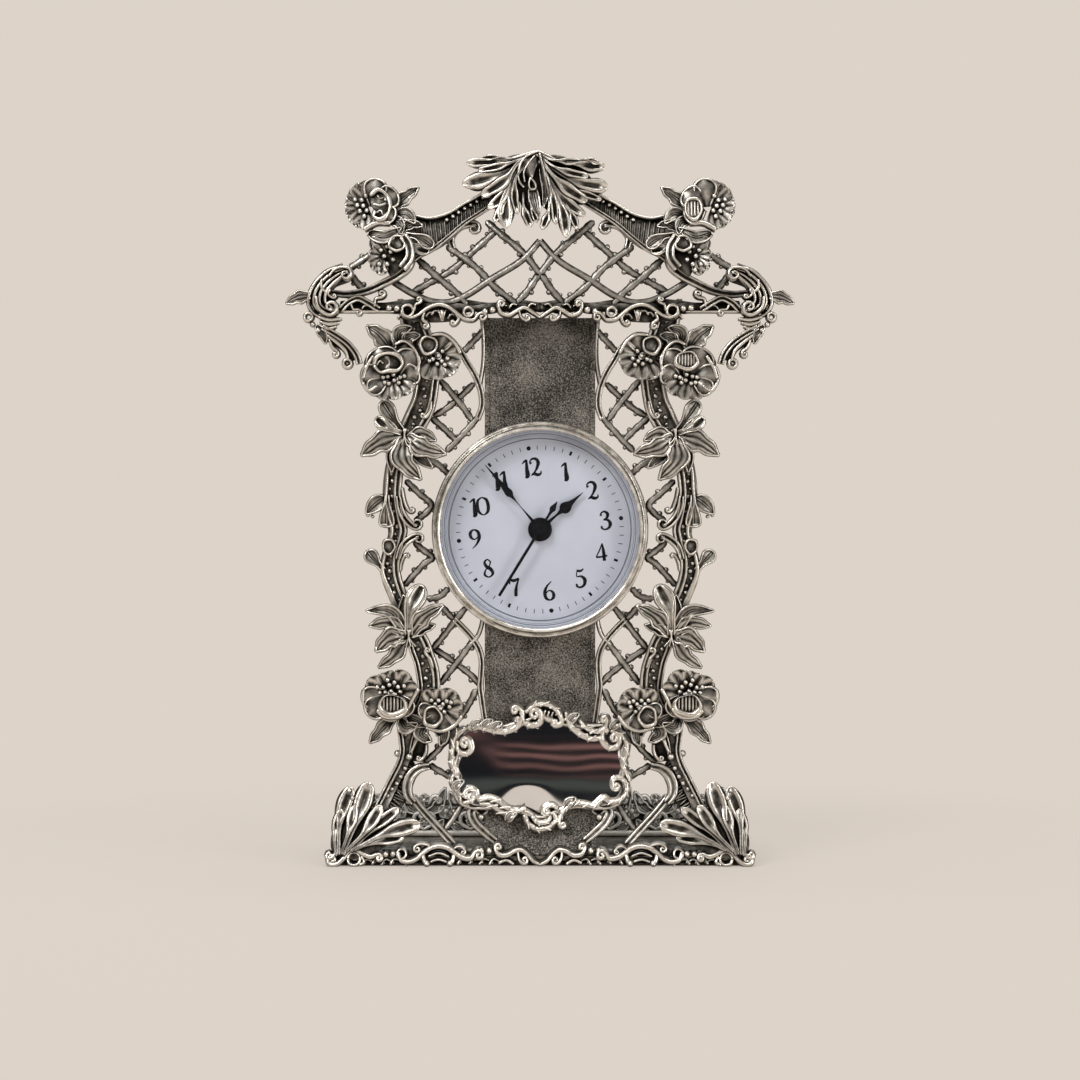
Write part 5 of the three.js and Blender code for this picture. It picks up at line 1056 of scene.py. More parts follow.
# The crest is one acanthus leaf hung over the top of the arches: lobes with rolled rims fan out to both sides
# and down, round a folded middle leaf. It isn't quite even from side to side.
CREST_BEDS = [
    ([(-1, 232), (-10, 228.6), (-20, 225.6)], 5),
    ([(-2, 232), (-8, 224), (-14, 216.6)], 5.2),
    ([(-1, 232), (-2, 224), (-4, 214)], 5.6),
    ([(0, 232), (4, 222), (8, 212)], 5.4),
    ([(1, 232), (8, 225), (14, 218)], 5),
    ([(0, 232), (9, 228), (18, 225)], 5),
]
CREST_LOBES = [
    ([(-2, 234.6), (-8, 233), (-15, 231.8), (-24.3, 231.4)], 1.9, 0.2),
    ([(-9, 233), (-14, 233.2), (-19, 233)], 1.2, 0.8),
    ([(-3, 233), (-8.9, 229.6), (-16, 226.6), (-25.6, 224.4)], 3, 0.2),
    ([(-2, 234.2), (-8.2, 231.8), (-14, 230), (-20.5, 228.9)], 1.6, 1.2),
    ([(-9, 222), (-13, 215.6), (-15, 211.6)], 1.6, 0.4),
    ([(-4, 232), (-8.9, 227.1), (-12.8, 219.8), (-17.2, 216.2)], 2.1, 0.9),
    ([(-4, 231), (-8.7, 226.4), (-11.6, 216), (-11, 209.6)], 3, 0.8),
    ([(-2, 234), (-6.8, 231.6), (-11.4, 225.6), (-19.3, 220.6)], 2.5, 1.6),
    ([(-3.4, 232), (-8, 226), (-8.4, 220), (-7.4, 214.4)], 1.6, 1.6),
    ([(-5.6, 222), (-5.3, 216.4), (-3, 210)], 1.7, 0.8),
    ([(-3.6, 220), (-2.6, 215.6), (-0.9, 211.4)], 1.1, 1.4),
    ([(3, 220), (2.6, 214.4), (0.6, 209.1)], 1.6, 0.8),
    ([(4, 232), (12, 231), (21.6, 230)], 2.3, 0.3),
    ([(12, 232.2), (16, 232.4), (19.4, 231.2)], 1.2, 0.9),
    ([(0, 234.6), (3, 232.6), (8, 231.8), (13.8, 231.9)], 1.5, 1),
    ([(2, 231.4), (8, 227), (14, 224.6), (22.4, 223.4)], 2.8, 0.4),
    ([(0, 234), (3.6, 230.6), (9, 228.2), (16, 227)], 1.7, 1.6),
    ([(6, 226), (12.9, 222), (20.3, 219.2)], 1.5, 0.4),
    ([(1, 231), (4, 224.6), (9.6, 217.4), (14.9, 213.7)], 2.3, 1),
    ([(0, 234), (1.8, 230.4), (8.6, 223), (15.5, 218.7)], 2.5, 1.8),
    ([(7, 220), (10.2, 214.6), (12.3, 209)], 1.4, 0.8),
    ([(1, 229), (5, 221.7), (8, 213), (8.6, 206.3)], 2.1, 1.4),
    ([(0.6, 232), (3, 225), (4.6, 218), (5.2, 210.9)], 1.7, 2),
]
CREST_STEMS = [
    ([(-0.8, 235.2), (-5.3, 232.8), (-7.1, 228.9), (-6.8, 225), (-5.3, 223.2)], 0.6),
    ([(-1.6, 233.8), (-4, 231), (-5.4, 228), (-5, 225)], 0.45),
    ([(-0.2, 234.4), (0.4, 232.1), (2, 225.7), (3, 220.3), (3, 214.6)], 0.6),
    ([(-3.2, 226.4), (-1.9, 225), (-1.5, 222.8), (-3, 222.5), (-3.7, 224.5), (-3.2, 226.4)], 0.5),
]
crest = Casting(on_pediment)
for points, half in CREST_BEDS:
    leaf(crest, points, half, LEAF_BACK - 1.2, section=SLAB, thick=1.4, lift=0.8, rim=0)
for points, half, lift in CREST_LOBES:
    crumpled = lambda s: spoon(s) * (1 + 0.12 * np.sin(15 * s + 7 * half))
    leaf(crest, points, half, LEAF_BACK + 0.4, crumpled, SPOON, 2, 0.8 + lift, 0.6, hemmed=False)
leaf(crest, [(-1.2, 234), (-3.4, 230.4), (-2.8, 226)], 2.3, LEAF_BACK + 1.4, section=SMOOTH, lift=0.8,
     hemmed=False)
leaf(crest, [(0.4, 230), (1.9, 223), (1.2, 216.4)], 1.5, LEAF_BACK + 1.6, lift=0.6, hemmed=False)
leaf(crest, [(-2.8, 224.4), (-1.8, 219), (-0.3, 212.2)], 2, LEAF_BACK + 1.2, lift=0.8, hemmed=False)
for points, half in CREST_STEMS:
    crest.strand(points, half, 1.8, LEAF_BACK + 2.4)
crest.strand([(-12, 232), (-5, 234.2), (-0.8, 235.2), (2.4, 234), (6, 231.8)], 0.7, 1.8, LEAF_BACK + 1)
crest.make("pediment_crest_leaf", "pediment_crest")


# Two poppies crown each shoulder of the pediment. The upper one turns outward with one petal folded in over
# its pearls, and the rim of the lower one runs on as the stem of the volute.
PEDIMENT_PETALS = [
    ((55, 217), (54, 226), 4.4, -0.6, 0, 1.6),
    ((54, 217), (47.4, 221.6), 4.6, -0.4, 0, 1.6),
    ((54, 216.4), (48.2, 212.4), 4, -0.4, 0, 1.4),
]
PEDIMENT_LIP = [
    (55.9, 220.4), (53.5, 222.3), (50.6, 220.7), (49.3, 217.4),
    (50, 214.2), (52.6, 212.2), (54.7, 213.5), (54.2, 215),
]
for side, sign in SIDES.items():
    poppies = Casting(on_pediment, sign)
    for k, angle in enumerate(np.linspace(72, 266, 10)):
        tip = (57 - 7.4 * math.cos(math.radians(angle)), 217.2 + 8.4 * math.sin(math.radians(angle)))
        petal(poppies, (57.4, 217.2), tip, 2.6, HEART - 0.8 + 0.3 * (k % 2))
    bloom(poppies, PEDIMENT_PETALS)
    if side == "left":
        lip(poppies, PEDIMENT_LIP, [(53.6, 222), (52.2, 217.4), (52.8, 212.6)], HEART + 1.8, 0.95)
        poppies.strand([(55, 217.7), (52.6, 217), (50.6, 217.8)], 0.75, 1.5, HEART + 2, RIDGE * (1, 1, 0.6))
        poppies.strand([(53.8, 214.4), (52.4, 215.4), (51.6, 213.8)], 0.45, 1.3, HEART + 2.2)
        poppies.strand([(53.6, 220.6), (52.6, 219.4), (51.4, 220)], 0.4, 1.2, HEART + 2.2)
    else:
        scoop(poppies, 50.4, 216, HEART + 1.6, 3.3, 4.5, 2.6, ribs=4)
    poppies.beads([(58.8, 219), (60.2, 217.2), (58.2, 217), (57, 215.4), (59.3, 215.2), (57.4, 220.4),
                   (61, 219.2), (57.8, 213.4)], HEART + 2, 0.95)
    poppies.strand([(57.8, 209), (53.6, 211.2), (49.2, 211.2)], 1.2, 2.8, HEART + 0.4)
    leaf(poppies, [(56.4, 208), (51, 206.4), (45.6, 209.6)], 2.3, HEART - 0.6, lift=1.4)
    leaf(poppies, [(50, 212.6), (46.4, 211.4), (45.6, 207.4)], 2, HEART - 1, lift=1)
    leaf(poppies, [(50, 206), (48, 200), (49, 193.6)], 4.2, HEART - 1.8, section=SLAB, thick=1, lift=0.2,
         rim=0)
    for angle in (135, 165, 195, 225, 255):
        tip = (50.6 - 5.8 * math.cos(math.radians(angle)), 199.6 + 6.2 * math.sin(math.radians(angle)))
        petal(poppies, (51.6, 200.4), tip, 2.2, HEART - 1.2)
    petal(poppies, (50.6, 201), (55, 206.6), 2.8, HEART - 1.2)
    poppies.beads([(51.1, 200.1), (52.2, 202.2), (50.8, 195.4), (52.7, 197.4), (50.1, 197.4), (49, 201.6),
                   (48.2, 199), (50.2, 203.4)], HEART + 0.8, 0.95)
    scoop(poppies, 47, 204.2, HEART + 0.6, 3.1, 3.1, 2.4, (-0.1, 0.1))
    poppies.strand([(45, 206.8), (43, 203.6), (42.8, 199.6), (45.2, 196)], 1.7, 3.8, LEAF_BACK + 0.2, REED)
    leaf(poppies, [(48.4, 216.8), (45, 219.8), (40.2, 223.6)], 2.7, LEAF_BACK, lobed, lift=0.8)
    leaf(poppies, [(47.8, 214), (44, 214.4), (41.2, 211.2)], 2.4, LEAF_BACK, lift=1)
    leaf(poppies, [(45.6, 209), (42.4, 211), (38.6, 210.4)], 2, LEAF_BACK - 0.4, lobed, lift=0.8)
    leaf(poppies, [(44.6, 207.4), (40.4, 206.6), (35.2, 203.4)], 2.4, LEAF_BACK, spoon, LEAF, lift=0.8)
    leaf(poppies, [(44.6, 206), (41, 203.2), (36.6, 201.8)], 2, LEAF_BACK - 0.6, spoon, SPOON, lift=0.8)
    poppies.make(f"pediment_flowers_{side}_poppies", f"pediment_flowers_{side}")


# The plaque is a plain plate, polished to a mirror, and left bare.
# It lies in a frame of rolling scrolls that are cast in one ring and polished.
def mirrored(surface):
    smear = surface.noise(40.0, 2.0)
    return {
        "Base Color": smear.rise(0.3, 0.8).mix((0.84, 0.83, 0.82, 1), (0.92, 0.91, 0.9, 1)),
        "Roughness": smear * 0.05 + 0.03,
        "Normal": surface.bump(surface.noise(45.0, 1.0), 0.1, 0.001),
    }


def bright_cast(surface):
    # The rubbed value holds painted shade at the roots of the frame's leaves.
    rubbed = surface.node("Attribute", {"attribute_name": "wear"}, out="Fac")
    open_air = surface.node("AmbientOcclusion", {"samples": 6}, {"Distance": 0.002}, "AO")
    bright = (rubbed * 0.8 + open_air * 0.6 + surface.noise(400.0) * 0.3).rise(0.4, 1.15)
    return {
        "Base Color": bright.mix((0.05, 0.043, 0.036, 1), (0.93, 0.89, 0.83, 1)),
        "Roughness": 0.46 - bright * 0.18,
        "Normal": surface.bump(surface.noise(900.0), 0.1, 0.0001),
    }


PLAQUE_HEIGHT = 32
PLAQUE_HALF = np.array([27, 13.5])
QUARTER = np.array([(1.04, 0), (0.99, 0.3), (1.02, 0.62), (0.86, 0.95), (0.5, 0.94), (0.24, 1.04), (0, 1.2)])
PLATE_BACK = 3.2
CHORD_DROP = 0.36
CHORD_SPAN = 27.5
DOME_HIGH = 0.5
DOME_REACH = 15
DENT_DEEP = 0.013
DENT_TOP = 27
DENT_MIDDLE = -4
DENT_WIDE = 5.5
half_way = np.concatenate([QUARTER, QUARTER[-2::-1] * (-1, 1)])
round_edge = smooth(np.concatenate([half_way, half_way[-2::-1] * (1, -1)]) * PLAQUE_HALF, 1.0)
outline = round_edge + (0, PLAQUE_HEIGHT)
rings = []
for share in np.linspace(0.02, 1, 24):
    x, z = ((0, PLAQUE_HEIGHT) + (outline[:-1] - (0, PLAQUE_HEIGHT)) * share).T
    dent = np.clip(DENT_TOP - z, 0, None) ** 2 * np.exp(-(((x - DENT_MIDDLE) / DENT_WIDE) ** 2))
    flare = np.clip((FLARE_TOP - z) / FLARE_TOP, 0, 1)
    chord = FLARE_DEPTH * (CHORD_DROP * (FLARE_TOP - z) / CHORD_SPAN - flare**2)
    dome = DOME_HIGH * (1 - ((z - PLAQUE_HEIGHT) / DOME_REACH) ** 2)
    rings.append(np.stack([x, z, PLATE_BACK + chord + dome - DENT_DEEP * dent], -1))
rings.append(rings[-1] - (0, 0, 1.2))
rings.append(rings[0] - (0, 0, 1.6))
plate = Casting(on_waist)
plate.skin(np.stack(rings), 1)
MIRROR = finish("mirror_plate", {"Metallic": 1.0}, mirrored)
plate.make("plaque_mirror", "plaque_plate", material=MIRROR, slot="mirror")

BRIGHT = finish("bright_cast_silver", {"Metallic": 1.0}, bright_cast)
CURL_STEP = 3.2
FRAME_RUNS = [
    ([(-24.2, 44.8), (-20, 45.2), (-16.1, 44.2), (-12, 43.7), (-9, 44.6), (-6.4, 47), (-5.8, 49.6),
      (-7.2, 51.4)], None, (1.4, 1)),
    ([(-8.6, 46.6), (-7, 48.4)], None, None),
    ([(-5.6, 46.8), (-2.6, 45.7), (-0.2, 46.6), (0.3, 48.8)], None, (2, 1)),
    ([(-4.8, 49.8), (-2.4, 52), (1.4, 52.6), (4.6, 51.4), (6.6, 49), (7.2, 46.6), (5.4, 45.8)], None,
     (0.9, -1)),
    ([(8.6, 50), (9.6, 46.6), (12, 44), (15, 42), (18.4, 41.2), (20.4, 41.8)], None, None),
    ([(13, 47.4), (15.4, 44.6), (18.6, 43.4), (21.4, 44.6), (22.4, 47)], None, (1.2, 1)),
    ([(21, 44), (20.8, 40.6), (22.8, 38.4), (25.4, 38.6), (26.4, 40.6)], (0.9, -1), (1.7, 1)),
    ([(23.4, 43.8), (26.6, 43), (28.8, 39.6), (28.4, 35.4), (27.6, 33.2), (29, 29.6), (29.8, 27.2)], None,
     None),
    ([(24, 26), (24.4, 27.8), (26.6, 28.2), (28.6, 26.2), (28.4, 23.2), (26.4, 21.2), (23, 20.6), (21, 21.8),
      (19.6, 20.6), (17.6, 19.2), (14.4, 19.8), (11, 20), (8.2, 18.2), (6.6, 15.6), (6.4, 13.4)],
     (1.3, 1), (1.1, 1)),
    ([(5.8, 18.4), (4.2, 19.4), (1.8, 18.6)], None, (1.2, 1)),
    ([(-5.4, 16.4), (-3.6, 13.4), (-0.6, 11.9), (2.6, 12.4), (5.2, 14.8), (4.6, 17)], None, None),
    ([(-2.6, 16), (-0.6, 14), (2.2, 14.2), (3.6, 16)], None, None),
    ([(-4.6, 18.6), (-7.6, 17.4), (-11, 18.6), (-14, 20.8), (-17, 21.8), (-20, 21.4), (-21.6, 22.8)], None,
     (1.4, 1)),
    ([(-8.6, 15.6), (-13, 17.6), (-16.4, 19.6), (-20, 20)], None, None),
    ([(-25.4, 20.2), (-22.6, 21), (-21.2, 23.4), (-23.4, 24.8), (-25, 23.6)], None, (0.9, 1)),
    ([(-26.2, 20.6), (-27, 23.6), (-28.6, 25.4), (-29.2, 28.2), (-28, 30.2), (-29.2, 32.4), (-29.2, 36),
      (-28.8, 40), (-27.6, 43), (-24.8, 44.8)], None, None),
    ([(-27.4, 40.4), (-27.2, 37.4), (-25.2, 36.2), (-23.2, 37.2), (-23.2, 39.6)], None, (1.7, 1)),
]
FRAME_LEAVES = [
    (-18, 46.6), (-21.6, 46.4), (-15, 45.8), (10.6, 48.6),
    (24.6, 46.4), (-27.6, 26.6), (9.4, 21), (-10, 16.6),
]
scrolls = Casting(on_waist)
for points, start, end in FRAME_RUNS:
    scrolls.scroll(points, 1.4, 3.8, start, end, section=RIDGE_WIDE)
    line = smooth(points, CURL_STEP)
    for spot, run in list(zip(line, np.gradient(line, axis=0) / CURL_STEP))[1:-1]:
        out = np.array([-run[1], run[0]])
        out *= math.copysign(1.0, out @ (spot - (0, PLAQUE_HEIGHT)))
        curl = [spot - 1.5 * run - 0.7 * out, spot + 0.2 * out, spot + 1.4 * run + 1.1 * out]
        scrolls.strand(curl, lambda s: 0.7 - 0.4 * s, 1.5, MOULD_BACK + 2.6)
for x, z in FRAME_LEAVES:
    leaf(scrolls, [(x - 1, z - 2.2), (x + 0.4, z - 0.2), (x + 2.4, z + 0.8)], 1.5, MOULD_BACK + 2.4, lift=1,
         thick=1.4)
bead_line = (outline - (0, PLAQUE_HEIGHT)) * 1.02 + (0, PLAQUE_HEIGHT)
scrolls.strand(bead_line, lambda s: 1 + 0.4 * np.sin(90 * s), 2.2, MOULD_BACK + 0.3)
for k in range(4):
    scrolls.strand([(1 + k * 1.4, 48.2 + 0.2 * k), (1.8 + k * 1.3, 50.6 - 0.3 * k)], 0.55, 3.2, MOULD_BACK,
                   TWIG)
scrolls.make("plaque_frame_scrolls", "plaque_frame", material=BRIGHT, slot="polished")


# The insert's rim is a thin spun ring, silvered and polished, with a stepped and lacquered ring inside it
# that leads the eye down to the dial. Both are turned about the middle of the dial.
COLLAR_FACE = -15.9
DIAL_HEIGHT = 110.5
DIAL_TURN = math.radians(8)
SHARP_EDGE = math.radians(38)


def on_insert(x, z, back):
    """The insert's own plane, turned a little anticlockwise, with depth counted back from its collar."""
    cos, sin = math.cos(DIAL_TURN), math.sin(DIAL_TURN)
    return np.stack([x * cos - z * sin, COLLAR_FACE + back, DIAL_HEIGHT + x * sin + z * cos], -1) * MM


def turned(name, profile, material, node, facets=120):
    """A ring about the middle of the dial, from a closed profile of (radius, back)."""
    radius, back = np.array(profile, float).T
    angle = np.linspace(0, 2 * math.pi, facets, endpoint=False)[:, None]
    points = on_insert(radius * np.cos(angle), radius * np.sin(angle), back + 0 * angle).reshape(-1, 3)
    index = np.arange(len(points)).reshape(facets, len(profile))
    after = np.roll(index, -1, 0)
    quads = np.stack([index, np.roll(index, -1, 1), np.roll(after, -1, 1), after], -1).reshape(-1, 4)
    mesh = piece(name, points, quads.tolist(), material, [node], "insert")
    mesh.set_sharp_from_angle(angle=SHARP_EDGE)


def polished(surface):
    haze = surface.noise(300.0, 5.0)
    return {
        "Base Color": haze.rise(0.34, 0.66).mix((0.64, 0.615, 0.57, 1), (0.96, 0.935, 0.885, 1)),
        "Roughness": haze * 0.15 + 0.2,
        "Normal": surface.bump(surface.noise(260.0), 0.06, 0.0002),
    }


RING_LINES = (30.3, 31.9)


def lacquered(surface):
    """Pale lacquer, darkened in two fine lines round it at the radii in RING_LINES."""
    haze = surface.noise(90.0)
    spot = surface.node("VectorMath", {"operation": "MULTIPLY"}, {0: surface.place(), 1: (1, 0, 1)}, "Vector")
    reach = surface.node("VectorMath", {"operation": "DISTANCE"}, {0: spot, 1: (0, 0, DIAL_HEIGHT * MM)},
                         "Value")
    clear = 1.0
    for line in RING_LINES:
        off_line = surface.node("Math", {"operation": "ABSOLUTE"}, {0: reach - line * MM})
        clear = clear * off_line.rise(0.00008, 0.00026)
    pale = haze.rise(0.3, 0.7).mix((0.68, 0.69, 0.72, 1), (0.78, 0.785, 0.81, 1))
    return {"Base Color": clear.mix((0.24, 0.245, 0.28, 1), pale), "Roughness": haze * 0.1 + 0.2}


RIM = [
    (33.8, -0.3), (36, -0.3), (36, -2.4), (35.9, -3.2), (35.6, -3.6), (35.2, -3.7),
    (34.95, -3.4), (34.85, -3.5), (34.7, -4.8), (34.3, -6), (33.9, -6.6), (33.5, -6.7),
    (33.1, -6.5), (32.8, -6.1), (32.7, -5.6), (33.8, -5.6),
]
STEPS = [
    (33.5, -3.5), (33.5, -1.1), (31.6, -0.3), (31.6, 1), (29.6, 1), (29.6, 0.7), (30.2, 0.7),
    (30.25, 0.2), (30.3, 0.2), (30.35, 0.7), (30.8, 0.6), (31.3, -0.2), (31.35, 0.2), (31.45, 0.2),
    (31.5, -0.5), (31.9, -1), (32.4, -2.4), (32.45, -2), (32.5, -2), (32.55, -2.7), (32.7, -3.5),
]
turned("rim", RIM, finish("polished_rim", {"Metallic": 1.0}, polished), "bezel")
turned("stepped_ring", STEPS, finish("lacquered_ring", {"Metallic": 0.0}, lacquered), "reflector_ring")


# The glass is a flat disc held by the rim's lip.
# It is clear, and shows only by what it mirrors.
def clear_glass():
    """A material that is clear, and mirrors more the flatter it is seen."""
    made = bpy.data.materials.new("clear_glass")
    made.use_nodes = True
    surface = Shade(made.node_tree)
    made.node_tree.nodes.remove(made.node_tree.nodes["Principled BSDF"])
    facing = surface.node("LayerWeight", {}, {"Blend": 0.12}, "Fresnel")
    clear = surface.node("BsdfTransparent", {}, {"Color": (0.97, 0.98, 1, 1)})
    gloss = surface.node("BsdfGlossy", {}, {"Roughness": 0.03})
    mixed = surface.node("MixShader", {}, {0: facing, 1: clear, 2: gloss})
    made.node_tree.links.new(mixed.socket, made.node_tree.nodes["Material Output"].inputs["Surface"])
    return made


GLASS = [(0.01, -5.3), (33.4, -5.3), (33.5, -5.2), (33.5, -3.9), (33.4, -3.8), (0.01, -3.8)]
turned("glass", GLASS, clear_glass(), "lens")


# The dial is a thin enamelled disc with a printed chapter: dots at the quarters, strokes at the other hours,
# fine minute strokes, and old-style numbers drawn with a broad pen.
def enamel(surface):
    cloud = surface.noise(45.0, 4.0)
    return {
        "Base Color": cloud.rise(0.3, 0.75).mix((0.66, 0.66, 0.7, 1), (0.73, 0.73, 0.765, 1)),
        "Roughness": cloud * 0.1 + 0.42,
    }


def ink(surface):
    return {"Base Color": surface.noise(500.0).mix((0.006, 0.006, 0.008, 1), (0.014, 0.013, 0.016, 1))}


DIAL_FACE = 1.3
DISC = [(3.2, DIAL_FACE), (31.5, DIAL_FACE), (31.6, DIAL_FACE + 0.1), (31.6, 2.1), (3.2, 2.1)]
turned("dial_disc", DISC, finish("enamel", {}, enamel), "dial")
PRINT = [(-1, 0), (-1, 0.8), (-0.9, 1), (0.9, 1), (1, 0.8), (1, 0)]
DIGITS = {
    "0": [[(0.32, 1, 0.03), (0.1, 0.86, 0.06), (0.02, 0.5, 0.075), (0.1, 0.14, 0.06), (0.32, 0, 0.03),
           (0.54, 0.14, 0.07), (0.62, 0.5, 0.085), (0.54, 0.86, 0.07), (0.32, 1, 0.03)]],
    "1": [[(0.02, 0.78, 0.02), (0.2, 0.92, 0.05), (0.3, 1, 0.02)],
          [(0.3, 1, 0.05), (0.26, 0.5, 0.085), (0.2, 0.02, 0.09), (0.1, 0, 0.03)]],
    "2": [[(0.12, 0.72, 0.08), (0.06, 0.84, 0.04), (0.2, 0.98, 0.05), (0.4, 0.97, 0.07), (0.52, 0.78, 0.09),
           (0.44, 0.5, 0.07), (0.24, 0.22, 0.04), (0.04, 0.06, 0.03)],
          [(0.04, 0.06, 0.02), (0.2, 0.14, 0.07), (0.4, 0.06, 0.08), (0.58, 0.1, 0.05), (0.62, 0.26, 0.02)]],
    "3": [[(0.1, 0.78, 0.06), (0.16, 0.95, 0.04), (0.34, 1, 0.05), (0.5, 0.84, 0.08), (0.42, 0.62, 0.06),
           (0.22, 0.54, 0.03)],
          [(0.22, 0.54, 0.03), (0.46, 0.5, 0.06), (0.58, 0.28, 0.09), (0.44, 0.04, 0.06), (0.2, 0, 0.04),
           (0.06, 0.12, 0.05), (0.1, 0.2, 0.06)]],
    "4": [[(0.46, 1, 0.03), (0.28, 0.66, 0.035), (0.02, 0.28, 0.03)],
          [(0.02, 0.27, 0.05), (0.3, 0.25, 0.045), (0.66, 0.28, 0.05)],
          [(0.46, 1, 0.03), (0.48, 0.5, 0.08), (0.46, 0, 0.08)]],
    "5": [[(0.18, 0.96, 0.06), (0.4, 0.92, 0.06), (0.58, 1.02, 0.03)],
          [(0.2, 0.96, 0.025), (0.16, 0.62, 0.03), (0.36, 0.62, 0.05), (0.56, 0.42, 0.09), (0.48, 0.1, 0.07),
           (0.24, 0, 0.05), (0.06, 0.12, 0.05), (0.12, 0.2, 0.07)]],
    "6": [[(0.54, 1.04, 0.02), (0.26, 0.8, 0.05), (0.08, 0.44, 0.085), (0.14, 0.1, 0.07), (0.34, 0, 0.04),
           (0.54, 0.14, 0.08), (0.54, 0.4, 0.07), (0.36, 0.54, 0.035), (0.12, 0.4, 0.03)]],
    "7": [[(0.04, 0.72, 0.03), (0.08, 0.96, 0.06), (0.28, 0.9, 0.08), (0.6, 0.98, 0.05)],
          [(0.6, 0.98, 0.03), (0.42, 0.6, 0.06), (0.32, 0.2, 0.085), (0.3, 0, 0.08)]],
    "8": [[(0.5, 0.84, 0.04), (0.34, 1, 0.035), (0.16, 0.86, 0.06), (0.22, 0.64, 0.08), (0.46, 0.42, 0.09),
           (0.54, 0.18, 0.07), (0.32, 0, 0.035), (0.08, 0.16, 0.06), (0.14, 0.38, 0.04), (0.4, 0.62, 0.03),
           (0.5, 0.84, 0.04)]],
    "9": [[(0.1, -0.04, 0.02), (0.38, 0.2, 0.05), (0.56, 0.56, 0.085), (0.5, 0.9, 0.07), (0.3, 1, 0.04),
           (0.1, 0.86, 0.08), (0.1, 0.6, 0.07), (0.28, 0.46, 0.035), (0.52, 0.6, 0.03)]],
}
WIDTHS = {"1": 0.42, "0": 0.66}
NUMBER_HIGH = 5.9
PEN = 6.8
NUMBER_REACH = np.array([21.9, 20.8])
MARK_REACH = 27.3
MARK_HALF = 0.7
UP = math.pi / 2
INK = finish("printing_ink", {"Roughness": 0.6, "Specular IOR Level": 0.1}, ink)


class Printing(Casting):
    """Flat strokes and dots, printed on the dial or stamped from sheet."""

    def stroke(self, points, thick=0.03, face=DIAL_FACE):
        """A pen stroke through (x, z, half width) points, so thick in front of a face."""
        line = smooth(points, 0.25)
        run = np.gradient(line[:, :2], axis=0)
        run /= np.linalg.norm(run, axis=1, keepdims=True)
        across, up = np.array(PRINT).T
        x = line[:, :1] - run[:, 1:] * across * line[:, 2:]
        z = line[:, 1:2] + run[:, :1] * across * line[:, 2:]
        self.skin(np.stack([x, z, face - thick * up + 0 * x], -1), 0)

    def dot(self, x, z, radius, thick=0.03):
        angle = np.linspace(0, 2 * math.pi, 25)[:-1]
        x = x + radius * np.cos(angle)
        z = z + radius * np.sin(angle)
        rings = [np.stack([x, z, 0 * angle + DIAL_FACE - up], -1) for up in (0, thick)]
        self.skin(np.stack(rings), 0)


chapter = Printing(on_insert)
for minute in range(60):
    angle = UP - minute * math.pi / 30
    way = np.array([math.cos(angle), math.sin(angle)])
    if minute % 15 == 0:
        chapter.dot(*(way * MARK_REACH), 0.72)
    else:
        half = 0.4 if minute % 5 == 0 else 0.12
        chapter.stroke([(*(way * (MARK_REACH + end)), half) for end in (-MARK_HALF, MARK_HALF)])
for hour in range(1, 13):
    angle = UP - hour * math.pi / 6
    text = str(hour)
    wide = sum(WIDTHS.get(digit, 0.62) for digit in text)
    left, low = NUMBER_REACH * (math.cos(angle), math.sin(angle)) - np.array([wide, 1]) * NUMBER_HIGH / 2
    for digit in text:
        for points in DIGITS[digit]:
            chapter.stroke([(left + x * NUMBER_HIGH, low + z * NUMBER_HIGH, w * PEN) for x, z, w in points])
        left += WIDTHS.get(digit, 0.62) * NUMBER_HIGH
chapter.make("dial_print", body="insert", material=INK, slot="black")


# The hands are spades stamped from thin sheet and finished in satin black.
# Each is pressed on its own pipe, and the boss of the hour hand is the widest.
def satin_black(surface):
    haze = surface.noise(300.0)
    return {
        "Base Color": haze.mix((0.004, 0.004, 0.005, 1), (0.012, 0.012, 0.014, 1)),
        "Roughness": haze * 0.15 + 0.32,
    }


BLACK = finish("satin_black", {"Specular IOR Level": 0.08}, satin_black)
HAND_THICK = 0.5
MINUTES = 54.61
SECONDS = 36.6
# Each hand: its body, its turns from twelve, its boss's bore and radius, and (reach, half width) along it.
HANDS = {
    "hour_hand": ("hours", (1 + MINUTES / 60) / 12, (2.4, 4), [
        (3.6, 0.62), (8.6, 0.58), (9.3, 0.85), (10, 1.6), (11, 1.95),
        (12, 1.7), (13.2, 1.05), (15, 0.6), (17, 0.32), (18.9, 0.1),
    ]),
    "minute_hand": ("minutes", MINUTES / 60, (1.4, 3.2), [
        (2.8, 0.52), (13.8, 0.46), (14.6, 0.65), (15.2, 1.1), (16, 1.3),
        (17, 1.15), (19, 0.85), (22, 0.55), (25, 0.3), (28.2, 0.1),
    ]),
    "second_hand": ("seconds", SECONDS / 60, (0.3, 2.2), [
        (-10.9, 0.1), (-9.4, 0.6), (-8, 1.05), (-6.8, 0.55), (-6, 0.46),
        (-1.8, 0.5), (0, 0.5), (12, 0.5), (25, 0.48), (25.9, 0.48),
    ]),
}
for node, (body, turns, (bore, boss), blade) in HANDS.items():
    near, far = (edge.y / MM - COLLAR_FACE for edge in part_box(node))
    way = np.array([math.sin(turns * 2 * math.pi), math.cos(turns * 2 * math.pi)])
    middle, half = (bore + boss) / 2, (boss - bore) / 2
    circle = [(middle * math.cos(a), middle * math.sin(a), half) for a in np.linspace(0, 2 * math.pi, 33)]
    hand = Printing(on_insert)
    hand.stroke([(*(way * reach), width) for reach, width in blade], HAND_THICK, far)
    hand.stroke(circle, far - near, far)
    hand.make(f"{node}_stamped", node, body=body, material=BLACK, slot="black")


